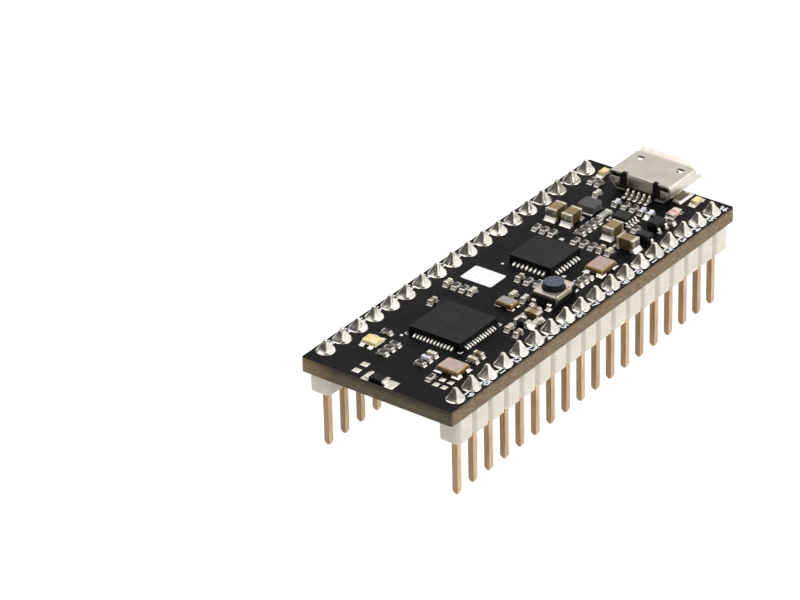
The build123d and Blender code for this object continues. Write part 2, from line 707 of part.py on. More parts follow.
with BuildPart() as usb_insulator:
    add(usb_prism(usb_rear + usb_wall + usb_clear, 1.10, inset=usb_wall + usb_clear))
    # tongue
    with Locations((21.35, 0, board_top + 1.20)):
        Box(2.95, 3.80, 0.52, align=FORWARD)
    add(usb_contacts.part, mode=Mode.SUBTRACT)
save("usb_insulator", usb_insulator.part)
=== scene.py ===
import math
import random

import bmesh
import bpy
import numpy as np
from mathutils import Matrix, Vector, geometry, noise


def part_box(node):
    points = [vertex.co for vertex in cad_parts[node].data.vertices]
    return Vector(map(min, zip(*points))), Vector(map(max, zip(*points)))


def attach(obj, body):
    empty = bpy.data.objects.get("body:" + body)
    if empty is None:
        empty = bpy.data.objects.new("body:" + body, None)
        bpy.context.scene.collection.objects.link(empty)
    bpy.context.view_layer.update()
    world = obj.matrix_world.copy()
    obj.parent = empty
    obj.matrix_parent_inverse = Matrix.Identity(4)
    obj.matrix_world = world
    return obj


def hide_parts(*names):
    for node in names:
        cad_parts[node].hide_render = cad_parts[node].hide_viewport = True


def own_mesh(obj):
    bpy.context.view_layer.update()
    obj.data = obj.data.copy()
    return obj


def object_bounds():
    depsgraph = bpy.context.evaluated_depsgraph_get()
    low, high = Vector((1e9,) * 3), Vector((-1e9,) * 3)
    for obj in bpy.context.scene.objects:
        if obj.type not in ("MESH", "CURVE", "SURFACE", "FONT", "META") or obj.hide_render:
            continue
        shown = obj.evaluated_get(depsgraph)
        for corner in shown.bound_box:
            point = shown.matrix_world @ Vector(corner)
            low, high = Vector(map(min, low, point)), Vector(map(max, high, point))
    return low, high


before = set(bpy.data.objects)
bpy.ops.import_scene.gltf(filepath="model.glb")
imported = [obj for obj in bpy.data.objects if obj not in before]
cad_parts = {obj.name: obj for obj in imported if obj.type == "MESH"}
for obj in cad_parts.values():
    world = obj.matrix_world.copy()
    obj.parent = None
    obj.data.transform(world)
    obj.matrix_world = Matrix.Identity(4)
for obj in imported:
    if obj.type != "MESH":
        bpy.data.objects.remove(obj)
cad_lo, cad_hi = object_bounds()

MM = 0.001
rng = random.Random(20)
scene = bpy.context.scene
SIDES = (-1, 1)


# ---------------------------------------------------------------------------
# reading the frame
# ---------------------------------------------------------------------------
class Box:
    """An upright box given by its low and high corners."""

    def __init__(self, low, high):
        self.low, self.high = low, high
        self.mid, self.size = (low + high) / 2, high - low


def node_box(node):
    low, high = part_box(node)
    return Box(np.array(low) * 1000, np.array(high) * 1000)


def islands(node):
    """The boxes of a CAD node's separate solids, sorted by x, then y, then z."""
    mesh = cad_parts[node].data
    points = np.empty(len(mesh.vertices) * 3, np.float32)
    mesh.vertices.foreach_get("co", points)
    points = points.reshape(-1, 3).astype(float) * 1000
    keys = {}
    index = [keys.setdefault(tuple(p), len(keys)) for p in np.round(points, 3)]
    parent = list(range(len(keys)))

    def find(a):
        while parent[a] != a:
            parent[a] = parent[parent[a]]
            a = parent[a]
        return a

    for polygon in mesh.polygons:
        corners = [index[v] for v in polygon.vertices]
        for corner in corners[1:]:
            parent[find(corner)] = find(corners[0])
    groups = {}
    for i in range(len(points)):
        groups.setdefault(find(index[i]), []).append(i)
    boxes = [Box(points[g].min(0), points[g].max(0)) for g in groups.values()]
    boxes.sort(key=lambda box: tuple(round(v, 2) for v in box.mid))
    return boxes


board = node_box("pcb_core")
EDGE_TOP = float(board.high[2])
MASK_TOP = float(node_box("solder_mask_top").high[2])
MASK_UNDER = float(node_box("solder_mask_bottom").low[2])
PAD_TOP = float(node_box("smd_pads").high[2])
lands = islands("smd_pads")
holes = islands("plated_holes")
near_pins, far_pins = islands("header_pins_right"), islands("header_pins_left")
RING_RADIUS = float(holes[0].size[0] / 2)
PITCH = 2.54


def land_at(point):
    """The copper land under a point, or None."""
    slack = 0.02
    best, best_distance = None, 1e9
    for land in lands:
        if all(land.low[i] - slack <= point[i] <= land.high[i] + slack for i in (0, 1)):
            distance = (land.mid[0] - point[0]) ** 2 + (land.mid[1] - point[1]) ** 2
            if distance < best_distance:
                best, best_distance = land, distance
    return best


# ---------------------------------------------------------------------------
# outlines
# ---------------------------------------------------------------------------
def rounded_rect(x, y, length, width, radius, steps=3):
    """Counter-clockwise (x, y) points; length lies along x."""
    radius = min(radius, length / 2 * 0.99, width / 2 * 0.99)
    points = []
    for side_x, side_y, start in ((1, -1, -90), (1, 1, 0), (-1, 1, 90), (-1, -1, 180)):
        for i in range(steps + 1):
            a = math.radians(start + 90 * i / steps)
            points.append((x + side_x * (length / 2 - radius) + radius * math.cos(a),
                           y + side_y * (width / 2 - radius) + radius * math.sin(a)))
    return points


def circle(x, y, radius, count, turn=1):
    """(x, y) points; turn -1 runs clockwise."""
    angles = (2 * math.pi * i / count for i in range(count))
    return [(x + radius * math.cos(a), y + turn * radius * math.sin(a)) for a in angles]


def lift(points, z):
    return [(x, y, z) for x, y in points]


def turned(x, y, profile, count):
    """Rings of a round part about a vertical axis; profile rows are (radius, z)."""
    return [lift(circle(x, y, radius, count), z) for radius, z in profile]


def stacked(box, profile, steps, radius=None):
    """Rounded rings inside a box; rows are (z above its floor, inset[, corner radius])."""
    rings = []
    for z, inset, *own in profile:
        outline = rounded_rect(box.mid[0], box.mid[1], box.size[0] - 2 * inset,
                               box.size[1] - 2 * inset, own[0] if own else radius, steps)
        rings.append(lift(outline, float(box.low[2]) + z))
    return rings


def inside(points, outline):
    """Which points lie inside a closed outline."""
    outline = np.array(outline, float)
    x, y = points[:, 0], points[:, 1]
    result = np.zeros(len(points), bool)
    j = len(outline) - 1
    for i in range(len(outline)):
        xi, yi, xj, yj = *outline[i], *outline[j]
        if yi != yj:
            result ^= ((yi > y) != (yj > y)) & (x < (xj - xi) * (y - yi) / (yj - yi) + xi)
        j = i
    return result


# ---------------------------------------------------------------------------
# mesh building
# ---------------------------------------------------------------------------
box_topologies = {}


def box_topology(steps):
    """Corner signs, corner normals and faces of a box with rounded edges."""
    if steps in box_topologies:
        return box_topologies[steps]
    last = 2 * steps + 1
    index, keys, faces = {}, [], []

    def vert(key):
        if key not in index:
            index[key] = len(keys)
            keys.append(key)
        return index[key]

    for axis in range(3):
        for side in (0, last):
            for i in range(last):
                for j in range(last):
                    face = []
                    for di, dj in ((0, 0), (1, 0), (1, 1), (0, 1)):
                        key = [0, 0, 0]
                        key[axis] = side
                        key[(axis + 1) % 3] = i + di
                        key[(axis + 2) % 3] = j + dj
                        face.append(vert(tuple(key)))
                    if side == 0:
                        face.reverse()
                    faces.append(face)
    keys = np.array(keys)
    signs = np.where(keys <= steps, -1.0, 1.0)
    share = np.where(keys <= steps, keys - steps, keys - steps - 1) / steps
    normals = np.tan(share * math.pi / 4)
    normals /= np.linalg.norm(normals, axis=1)[:, None]
    box_topologies[steps] = (signs, normals, faces)
    return box_topologies[steps]


def bevel_edges(bm, width, angle, segments=2, where=None):
    edges = [e for e in bm.edges if len(e.link_faces) == 2
             and e.calc_face_angle(0) > math.radians(angle) and (where is None or where(e))]
    if edges:
        bmesh.ops.bevel(bm, geom=edges, offset=width, offset_type="OFFSET", segments=segments,
                        profile=0.5, affect="EDGES", clamp_overlap=True)


def place(mesh, bm, mats, node, slot, body="board", sharp=38, weighted=False):
    """Writes bm into the mesh and links it as an object that rides on a body."""
    bm.transform(Matrix.Scale(MM, 4))
    bm.to_mesh(mesh)
    bm.free()
    mesh.validate()
    for mat in mats:
        mesh.materials.append(MATERIALS[mat])
    mesh.set_sharp_from_angle(angle=math.radians(sharp))
    placed_object = bpy.data.objects.new(mesh.name, mesh)
    scene.collection.objects.link(placed_object)
    if weighted:
        placed_object.modifiers.new("weighted", "WEIGHTED_NORMAL").keep_sharp = True
    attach(placed_object, body)
    if node:
        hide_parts(node)
    return placed_object


class Build:
    """Gathers the shapes of one object. The tone of a face shades its part in the material."""

    def __init__(self):
        self.verts, self.faces, self.mats, self.smooth, self.tones = [], [], [], [], []
        self.count = 0
        self.tone = 0.0

    def retone(self):
        self.tone = rng.uniform(-1, 1)

    def add(self, verts, faces, mat=0, smooth=True):
        verts = np.asarray(verts, float).reshape(-1, 3)
        self.verts.append(verts)
        self.faces += [[self.count + i for i in face] for face in faces]
        self.count += len(verts)
        self.mats += [mat] * len(faces)
        self.smooth += [smooth] * len(faces)
        self.tones += [self.tone] * len(faces)

    def box(self, mid, size, radius, steps=2, mat=0, jitter=0.0):
        """Box with rounded edges; jitter makes it uneven."""
        size = np.asarray(size, float)
        radius = min(radius, float(size.min()) / 2 * 0.98)
        signs, normals, faces = box_topology(steps)
        local = signs * (size / 2 - radius) + normals * radius
        if jitter:
            for i in range(len(local)):
                wave = noise.noise(Vector(local[i] * 6.0) + Vector(mid) * 3.1)
                local[i] *= 1 + jitter * wave
        self.add(local + np.asarray(mid, float), faces, mat)

    def loft(self, rings, mat=0, cap_first=True, cap_last=True, smooth=True):
        """Skin over closed rings of equal length; the caps are fans."""
        count, around = len(rings), len(rings[0])
        verts = [np.asarray(ring, float).reshape(-1, 3) for ring in rings]
        following = [(i, (i + 1) % around) for i in range(around)]
        faces = []
        for a in range(0, (count - 1) * around, around):
            faces += [[a + i, a + j, a + around + j, a + around + i] for i, j in following]
        for wanted, a in ((cap_first, 0), (cap_last, count - 1)):
            if wanted:
                centre = count * around + len(verts) - count
                verts.append(verts[a].mean(axis=0).reshape(1, 3))
                for i, j in following:
                    pair = [a * around + i, a * around + j] if a else [j, i]
                    faces.append(pair + [centre])
        self.add(np.concatenate(verts), faces, mat, smooth)

    def region(self, outline, circles, rects, z0, z1, segments=24):
        """Flat plate with round openings (x, y, radius) and square ones (x0, x1, y0, y1)."""
        points, edges = [], []

        def loop(ring):
            base, n = len(points), len(ring)
            points.extend(ring)
            edges.extend((base + i, base + (i + 1) % n) for i in range(n))

        loop(outline)
        for x, y, radius in circles:
            loop(circle(x, y, radius, segments))
        for x0, x1, y0, y1 in rects:
            loop([(x0, y0), (x1, y0), (x1, y1), (x0, y1)])
        result = geometry.delaunay_2d_cdt([Vector(p) for p in points], edges, [], 0, 1e-6)
        flat = np.array([[v.x, v.y] for v in result[0]])
        triangles = np.array([list(f) for f in result[2]], int)
        centres = flat[triangles].mean(1)
        cx, cy = centres[:, 0], centres[:, 1]
        keep = inside(centres, outline)
        for x, y, radius in circles:
            limit = (radius * math.cos(math.pi / segments)) ** 2 * 0.999
            keep &= ((cx - x) ** 2 + (cy - y) ** 2) > limit
        for x0, x1, y0, y1 in rects:
            keep &= ~((cx > x0) & (cx < x1) & (cy > y0) & (cy < y1))
        used, triangles = np.unique(triangles[keep], return_inverse=True)
        flat = flat[used]
        n = len(flat)
        verts = [np.column_stack([flat, np.full(n, z)]) for z in (z0, z1)]
        faces, rim = [], {}
        for a, b, c in triangles.reshape(-1, 3).tolist():
            (ax, ay), (bx, by), (cx, cy) = flat[a], flat[b], flat[c]
            if (bx - ax) * (cy - ay) - (by - ay) * (cx - ax) < 0:
                b, c = c, b
            faces.append([n + a, n + b, n + c])
            faces.append([a, c, b])
            rim.update({(a, b): True, (b, c): True, (c, a): True})
        faces += [[a, b, n + b, n + a] for a, b in rim if (b, a) not in rim]
        self.add(np.concatenate(verts), faces)

    def ribbon(self, path, width, thick, origin, turn=0.0, mat=0):
        """Bent strip: path is (x, z) down its middle, width lies along y, then turned about z."""
        points = np.array(path, float)
        along = np.gradient(points, axis=0)
        along /= np.linalg.norm(along, axis=1)[:, None]
        a = math.radians(turn)
        spin = np.array([[math.cos(a), -math.sin(a), 0], [math.sin(a), math.cos(a), 0], [0, 0, 1]])
        bend = min(thick, width) * 0.22
        w, t = width / 2, thick / 2
        section = ((-w + bend, -t), (w - bend, -t), (w, -t + bend), (w, t - bend),
                   (w - bend, t), (-w + bend, t), (-w, t - bend), (-w, -t + bend))
        rings = []
        for (x, z), (dx, dz) in zip(points, along):
            ring = np.array([[x - dz * out, across, z + dx * out] for across, out in section])
            rings.append(ring @ spin.T + np.array(origin, float))
        self.loft(rings, mat)

    def finish(self, name, mats, node=None, slot=None, weld=False,
               bevel=0.0, segments=2, bevel_angle=50, where=None, **placing):
        mesh = bpy.data.meshes.new(name)
        mesh.from_pydata(np.concatenate(self.verts).tolist(), [], self.faces)
        mesh.polygons.foreach_set("material_index", self.mats)
        mesh.polygons.foreach_set("use_smooth", self.smooth)
        tone = mesh.attributes.new("tone", "FLOAT", "FACE")
        tone.data.foreach_set("value", self.tones)
        bm = bmesh.new()
        bm.from_mesh(mesh)
        if weld:
            bmesh.ops.remove_doubles(bm, verts=bm.verts, dist=1e-4)
        bmesh.ops.recalc_face_normals(bm, faces=bm.faces)
        if bevel:
            bevel_edges(bm, bevel, bevel_angle, segments, where)
        return place(mesh, bm, mats, node, slot, **placing)


def copy_node(node, name, mat, bevel, slot):
    """A refined copy of a CAD node: welded, flat faces joined, edges softened."""
    bm = bmesh.new()
    bm.from_mesh(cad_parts[node].data)
    bm.transform(Matrix.Scale(1000, 4))
    bmesh.ops.remove_doubles(bm, verts=bm.verts, dist=1e-3)
    bmesh.ops.dissolve_limit(bm, angle_limit=math.radians(1.0), verts=bm.verts, edges=bm.edges)
    bmesh.ops.recalc_face_normals(bm, faces=bm.faces)
    bevel_edges(bm, bevel, angle=30)
    for face in bm.faces:
        face.smooth = True
        face.material_index = 0
    place(bpy.data.meshes.new(name), bm, [mat], node, slot, weighted=True)


# ---------------------------------------------------------------------------
# shader helpers
# ---------------------------------------------------------------------------
MATERIALS = {}
INPUTS = {"color": "Base Color", "rough": "Roughness", "metal": "Metallic",
          "spec": "Specular IOR Level", "sss": "Subsurface Weight",
          "sss_radius": "Subsurface Radius", "sss_scale": "Subsurface Scale",
          "normal": "Normal", "glow": "Emission Strength", "glow_color": "Emission Color"}


def linear(color):
    """Three sRGB bytes become linear RGBA; sockets and RGBA pass unchanged."""
    if not isinstance(color, tuple) or len(color) != 3:
        return color
    return tuple((v / 255) / 12.92 if v / 255 <= 0.04045 else ((v / 255 + 0.055) / 1.055) ** 2.4
                 for v in color) + (1.0,)


class Tree:
    """An emptied node tree."""

    def __init__(self, owner):
        owner.use_nodes = True
        self.tree = owner.node_tree
        self.tree.nodes.clear()

    def node(self, kind, **settings):
        node = self.tree.nodes.new(kind)
        for key, value in settings.items():
            setattr(node, key, value)
        return node

    def feed(self, socket, value):
        """Links a socket to the input, or sets the input to a value."""
        if hasattr(value, "links"):
            self.tree.links.new(value, socket)
        else:
            socket.default_value = value

    def math(self, operation, a, b):
        node = self.node("ShaderNodeMath", operation=operation)
        self.feed(node.inputs[0], a)
        self.feed(node.inputs[1], b)
        return node.outputs[0]

    def times(self, a, b):
        return self.math("MULTIPLY", a, b)


class Shader(Tree):
    """A material with one principled shader; its coordinates are millimetres of the row frame."""

    def __init__(self, name):
        material = MATERIALS[name] = bpy.data.materials.new(name)
        super().__init__(material)
        output = self.node("ShaderNodeOutputMaterial")
        self.principled = self.node("ShaderNodeBsdfPrincipled")
        self.feed(output.inputs[0], self.principled.outputs[0])
        coordinates = self.node("ShaderNodeTexCoord").outputs["Object"]
        self.place = self.stretched(coordinates, (1000, 1000, 1000))

    def stretched(self, vector, scale):
        node = self.node("ShaderNodeMapping")
        node.inputs["Scale"].default_value = scale
        self.feed(node.inputs["Vector"], vector)
        return node.outputs[0]

    def noise(self, scale, detail=4.0, rough=0.55, stretch=None, distort=0.0):
        node = self.node("ShaderNodeTexNoise")
        node.inputs["Scale"].default_value = scale
        node.inputs["Detail"].default_value = detail
        node.inputs["Roughness"].default_value = rough
        node.inputs["Distortion"].default_value = distort
        vector = self.stretched(self.place, stretch) if stretch else self.place
        self.feed(node.inputs["Vector"], vector)
        return node.outputs["Fac"]

    def split(self, vector):
        """The x, y and z outputs of a vector."""
        node = self.node("ShaderNodeSeparateXYZ")
        self.feed(node.inputs[0], vector)
        return node.outputs

    def facing(self):
        """The x, y and z parts of the face normal."""
        return self.split(self.node("ShaderNodeNewGeometry").outputs["True Normal"])

    def ramp(self, value, *stops):
        """Colour ramp; stops are (position, colour)."""
        node = self.node("ShaderNodeValToRGB")
        elements = node.color_ramp.elements
        while len(elements) < len(stops):
            elements.new(0.5)
        for element, (position, color) in zip(elements, stops):
            element.position = position
            element.color = linear(color)
        self.feed(node.inputs[0], value)
        return node.outputs[0]

    def remap(self, value, span=(0.3, 0.7), to=(0.0, 1.0)):
        node = self.node("ShaderNodeMapRange")
        node.inputs["From Min"].default_value, node.inputs["From Max"].default_value = span
        node.inputs["To Min"].default_value, node.inputs["To Max"].default_value = to
        self.feed(node.inputs["Value"], value)
        return node.outputs[0]

    def mix(self, share, a, b):
        node = self.node("ShaderNodeMix", data_type="RGBA")
        self.feed(node.inputs["Factor"], share)
        self.feed(node.inputs[6], linear(a))
        self.feed(node.inputs[7], linear(b))
        return node.outputs[2]

    def stain(self, base, value, color, span, amount):
        """Adds a colour over base, from none to amount, as value crosses span."""
        return self.mix(self.remap(value, span=span, to=(0.0, amount)), base, color)

    def toned(self, color, amount):
        """Shades each small part a little lighter or darker than its neighbours."""
        tone = self.node("ShaderNodeAttribute", attribute_name="tone").outputs["Fac"]
        node = self.node("ShaderNodeVectorMath", operation="SCALE")
        self.feed(node.inputs[0], color)
        self.feed(node.inputs["Scale"], self.math("ADD", self.times(tone, amount), 1.0))
        return node.outputs[0]

    def bump(self, height, depth, over=None):
        """Relief of a depth in millimetres, laid over another relief if one is given."""
        node = self.node("ShaderNodeBump")
        node.inputs["Strength"].default_value = 1.0
        node.inputs["Distance"].default_value = depth * MM
        self.feed(node.inputs["Height"], height)
        if over is not None:
            self.feed(node.inputs["Normal"], over)
        return node.outputs[0]

    def put(self, **values):
        for key, value in values.items():
            self.feed(self.principled.inputs[INPUTS[key]], value)


# ---------------------------------------------------------------------------
# materials of their own kind
# ---------------------------------------------------------------------------
def laminate():
    """Glass-epoxy: layered fibres along the edge; the -x end is painted darker as shade, and
    greener.
    """
    k = Shader("laminate")
    layers = k.noise(scale=1.0, detail=5.0, rough=0.6, stretch=(0.9, 0.9, 9.0), distort=0.4)
    fibre = k.noise(scale=1.0, detail=6.0, rough=0.7, stretch=(3.2, 3.2, 26.0), distort=0.8)
    blotch = k.noise(scale=0.55, rough=0.6, stretch=(1.0, 1.0, 1.6), distort=1.2)
    green = k.noise(scale=0.8, rough=0.6, stretch=(1.0, 1.0, 0.8), distort=1.5)
    fleck = k.noise(scale=3.4, detail=5.0, rough=0.7, stretch=(1.0, 1.0, 1.3), distort=1.0)
    wave = k.noise(scale=0.5, rough=0.6, distort=1.0)
    place_x, place_y, place_z = k.split(k.place)
    wavy = k.math("ADD", place_z, k.times(wave, 0.7))

    base = k.ramp(layers, (0.25, (82, 68, 46)), (0.45, (112, 96, 70)),
                  (0.6, (134, 117, 90)), (0.8, (154, 137, 110)))
    base = k.stain(base, fibre, (80, 64, 40), span=(0.50, 0.68), amount=0.6)
    base = k.stain(base, blotch, (112, 92, 84), span=(0.52, 0.68), amount=0.65)
    base = k.stain(base, green, (112, 104, 66), span=(0.54, 0.70), amount=0.6)
    base = k.stain(base, fleck, (62, 50, 36), span=(0.52, 0.66), amount=0.75)
    base = k.mix(k.remap(fleck, span=(0.30, 0.44), to=(0.5, 0.0)), base, (172, 155, 128))
    # dark rim just above the core
    base = k.stain(base, wavy, (52, 44, 32), span=(EDGE_TOP + 0.05, EDGE_TOP + 0.40), amount=0.7)

    # the -x end, painted darker as shade: dark along its top and bottom, warm towards +y, green
    # towards -y
    burr = k.remap(wavy, span=(EDGE_TOP - 0.45, EDGE_TOP + 0.22))
    keel = k.remap(wavy, span=(EDGE_TOP - 1.30, EDGE_TOP - 0.85), to=(1.0, 0.0))
    warm = k.remap(place_y, span=(5.0, 8.6))
    cool = k.remap(place_y, span=(-3.5, 2.0), to=(1.0, 0.0))
    patches = k.remap(k.noise(scale=0.5, detail=3.0), to=(0.2, 1.0))
    shaded_end_olive = k.ramp(layers, (0.25, (48, 44, 30)), (0.5, (82, 75, 52)), (0.8, (112, 100, 72)))
    shaded_end_olive = k.mix(k.times(burr, 0.88), shaded_end_olive, (24, 20, 15))
    shaded_end_olive = k.mix(k.times(keel, 0.55), shaded_end_olive, (44, 37, 26))
    shaded_end_olive = k.mix(k.times(warm, 0.6), shaded_end_olive, (150, 124, 82))
    shaded_end_olive = k.mix(k.times(k.times(cool, patches), 0.18), shaded_end_olive, (70, 74, 50))
    # faces turned towards -x take the darker end colour: painted shade
    end = k.remap(k.facing()[0], span=(-0.75, -0.35), to=(1.0, 0.0))
    k.put(color=k.mix(k.times(end, 0.92), base, shaded_end_olive), rough=k.remap(fibre, to=(0.55, 0.8)),
          spec=0.3, normal=k.bump(fibre, depth=0.03, over=k.bump(layers, depth=0.03)))


def solder_mask():
    k = Shader("mask")
    color = k.ramp(k.noise(scale=0.35, detail=3.0, rough=0.5),
                   (0.3, (7, 6, 9)), (0.7, (12, 11, 14)))
    dust = k.noise(scale=7.0, detail=2.0, rough=0.5)
    color = k.stain(color, dust, (70, 68, 66), span=(0.68, 0.80), amount=0.25)
    fine, broad = k.noise(scale=22.0, rough=0.65), k.noise(scale=2.2, detail=3.0)
    k.put(color=color, rough=k.remap(k.noise(scale=1.7), to=(0.36, 0.5)), spec=0.085,
          normal=k.bump(fine, depth=0.004, over=k.bump(broad, depth=0.006)))


def solder_metal(name, dark, light, rough, bump, freq):
    k = Shader(name)
    color = k.ramp(k.noise(scale=freq, distort=0.6), (0.3, dark), (0.7, light))
    flux = k.noise(scale=1.3, rough=0.6)
    color = k.stain(color, flux, (176, 160, 126), span=(0.60, 0.78), amount=0.5)
    waves = k.noise(scale=2.0, detail=3.0, rough=0.5, stretch=(1.5, 1.5, 0.55), distort=0.4)
    k.put(color=k.toned(color, amount=0.10), metal=1.0, normal=k.bump(waves, depth=bump),
          rough=k.remap(k.noise(scale=4.0, detail=3.0), to=rough))


def pin_gold():
    """Gold with streaks along the pins; faces towards -x painted darker and browner as shade."""
    k = Shader("gold")
    color = k.ramp(k.noise(scale=1.0, detail=3.0, rough=0.5, stretch=(3.0, 3.0, 0.5)),
                   (0.25, (176, 146, 112)), (0.55, (200, 172, 138)), (0.8, (214, 188, 156)))
    streak = k.noise(scale=1.0, detail=5.0, rough=0.7, stretch=(26.0, 26.0, 0.9))
    color = k.stain(color, streak, (124, 96, 64), span=(0.52, 0.76), amount=0.28)
    # painted shade: faces towards -x turn darker and browner
    end = k.remap(k.facing()[0], span=(-0.9, -0.3), to=(0.62, 0.0))
    color = k.mix(end, color, (104, 78, 50))
    k.put(color=k.toned(color, amount=0.10), metal=1.0, rough=k.remap(streak, to=(0.30, 0.46)),
          normal=k.bump(streak, depth=0.012))


def insulator_plastic():
    k = Shader("insulator")
    color = k.ramp(k.noise(scale=0.7, detail=3.0), (0.3, (196, 191, 177)), (0.7, (206, 202, 189)))
    k.put(color=color, rough=k.remap(k.noise(scale=3.0), to=(0.42, 0.6)), spec=0.4,
          sss=0.35, sss_radius=(1.0, 0.85, 0.6), sss_scale=0.0006,
          normal=k.bump(k.noise(scale=9.0), depth=0.004))


def shell_steel():
    k = Shader("shell_steel")
    broad = k.noise(scale=0.45, rough=0.6, stretch=(1.0, 0.5, 1.0), distort=0.6)
    smear = k.noise(scale=0.9, detail=5.0, rough=0.65, stretch=(0.5, 2.2, 1.0), distort=1.0)
    grain = k.noise(scale=1.0, rough=0.7, stretch=(2.0, 34.0, 34.0))
    color = k.ramp(broad, (0.3, (204, 197, 186)), (0.7, (220, 214, 205)))
    color = k.stain(color, smear, (182, 171, 154), span=(0.55, 0.75), amount=0.35)
    dents = k.bump(k.noise(scale=1.1, detail=3.0), depth=0.012)
    k.put(color=color, metal=1.0, rough=k.remap(smear, to=(0.26, 0.42)),
          normal=k.bump(grain, depth=0.0035, over=dents))


def crystal_lid():
    k = Shader("crystal_lid")
    fine = k.noise(scale=1.0, detail=5.0, rough=0.7, stretch=(6.0, 46.0, 20.0))
    color = k.ramp(k.noise(scale=1.6, detail=3.0), (0.3, (180, 158, 151)), (0.7, (204, 182, 173)))
    k.put(color=k.toned(color, amount=0.06), metal=0.85, rough=k.remap(fine, to=(0.36, 0.5)),
          normal=k.bump(fine, depth=0.004))


def moulding(name, dark, light, rough, spec):
    """Black moulded plastic; its walls painted far darker than its top, as shade."""
    k = Shader(name)
    mottle = k.noise(scale=1.1, detail=5.0, rough=0.65)
    top = k.ramp(mottle, (0.3, dark), (0.7, light))
    # painted shade: the walls take a sixth to a quarter of the top's colour
    shaded_wall_dark = tuple(v * 0.16 for v in linear(dark)[:3]) + (1.0,)
    shaded_wall_light = tuple(v * 0.24 for v in linear(light)[:3]) + (1.0,)
    wall = k.ramp(mottle, (0.3, shaded_wall_dark), (0.7, shaded_wall_light))
    color = k.mix(k.remap(k.facing()[2], span=(0.35, 0.9)), wall, top)
    broad = k.bump(k.noise(scale=6.0, detail=3.0), depth=0.003)
    k.put(color=k.toned(color, amount=0.12), rough=k.remap(k.noise(scale=2.3), to=rough),
          spec=spec, normal=k.bump(k.noise(scale=30.0, rough=0.7), depth=0.006, over=broad))


def tan_ceramic():
    """Tan on top, with darker layered walls."""
    k = Shader("ceramic_tan")
    layer = k.noise(scale=1.0, rough=0.6, stretch=(1.0, 1.0, 14.0))
    mottle = k.noise(scale=2.2, rough=0.6)
    top = k.ramp(mottle, (0.3, (106, 88, 54)), (0.7, (142, 120, 80)))
    wall = k.ramp(layer, (0.3, (62, 48, 22)), (0.7, (96, 78, 42)))
    color = k.mix(k.remap(k.facing()[2], span=(0.2, 0.8)), wall, top)
    k.put(color=k.toned(color, amount=0.12), rough=k.remap(mottle, to=(0.34, 0.5)), spec=0.45,
          normal=k.bump(k.noise(scale=10.0), depth=0.006))


def plunger_nylon():
    """Glass-filled nylon: grainy, speckled crown; the wall painted far darker, as shade."""
    k = Shader("plunger")
    grain = k.noise(scale=3.4, detail=6.0, rough=0.65)
    crown = k.ramp(grain, (0.3, (50, 54, 68)), (0.7, (92, 98, 116)))
    crown = k.stain(crown, k.noise(scale=8.0, detail=3.0), (122, 127, 144),
                    span=(0.55, 0.72), amount=0.5)
    # painted shade: the wall nearly black beside the crown
    wall = k.ramp(grain, (0.3, (7, 8, 11)), (0.7, (16, 17, 23)))
    k.put(color=k.mix(k.remap(k.facing()[2], span=(0.35, 0.85)), wall, crown),
          rough=k.remap(grain, to=(0.5, 0.66)), spec=0.22,
          normal=k.bump(k.noise(scale=9.0, detail=5.0, rough=0.6), depth=0.03))


laminate()
solder_mask()
solder_metal("solder", (216, 212, 203), (242, 238, 229), rough=(0.11, 0.24), bump=0.022, freq=1.8)
solder_metal("tin", (218, 215, 208), (244, 241, 234), rough=(0.18, 0.34), bump=0.012, freq=5.0)
pin_gold()
insulator_plastic()
shell_steel()
crystal_lid()
moulding("mould_black", (35, 34, 35), (44, 42, 43), rough=(0.62, 0.78), spec=0.11)
moulding("mould_deep", (20, 20, 21), (30, 29, 30), rough=(0.45, 0.62), spec=0.35)
tan_ceramic()
plunger_nylon()


# ---------------------------------------------------------------------------
# plain surfaces
# ---------------------------------------------------------------------------
def surface(name, dark, light, rough, freq, bump, detail=4.0, stretch=None,
            bump_freq=12.0, bump_stretch=None, speck=None, **values):
    """Noise between two colours, uneven roughness and fine relief.

    speck is (colour, frequency, amount) of scattered spots.
    """
    k = Shader(name)
    mottle = k.noise(scale=freq, detail=detail, rough=0.6, stretch=stretch)
    color = k.ramp(mottle, (0.32, dark), (0.68, light))
    if speck:
        speck_color, speck_freq, amount = speck
        spots = k.noise(scale=speck_freq, detail=2.0, rough=0.5)
        color = k.stain(color, spots, speck_color, span=(0.56, 0.72), amount=amount)
    wear = k.noise(scale=freq * 2.7, detail=3.0, rough=0.6, stretch=stretch)
    relief = k.noise(scale=bump_freq, detail=5.0, rough=0.6, stretch=bump_stretch)
    k.put(color=k.toned(color, amount=0.12), rough=k.remap(wear, to=rough),
          normal=k.bump(relief, depth=bump), **values)


surface("solder_soft", (222, 220, 214), (246, 244, 240), rough=(0.22, 0.36), freq=2.6,
        bump=0.012, bump_freq=7, metal=0.70, speck=((186, 176, 152), 3.0, 0.3))
surface("tin_matt", (196, 186, 166), (228, 220, 202), rough=(0.24, 0.38), freq=3.0,
        bump=0.004, bump_freq=9.0, metal=0.93, speck=((186, 170, 136), 4.0, 0.4))
surface("plating", (196, 184, 156), (226, 214, 188), rough=(0.25, 0.4), freq=4.0,
        bump=0.006, metal=1.0)
surface("ceramic_white", (214, 210, 198), (234, 231, 222), rough=(0.5, 0.7), freq=4.0,
        bump=0.006)
surface("ceramic_brown", (100, 80, 62), (146, 120, 96), rough=(0.34, 0.5), freq=3.0,
        bump=0.006, bump_freq=16, speck=((96, 62, 38), 5.0, 0.4))
surface("ceramic_pale", (170, 162, 148), (198, 190, 178), rough=(0.36, 0.52), freq=3.0,
        bump=0.006, bump_freq=16, speck=((146, 140, 122), 5.0, 0.4))
surface("ceramic_lilac", (176, 178, 206), (212, 214, 232), rough=(0.28, 0.42), freq=3.0,
        bump=0.006)
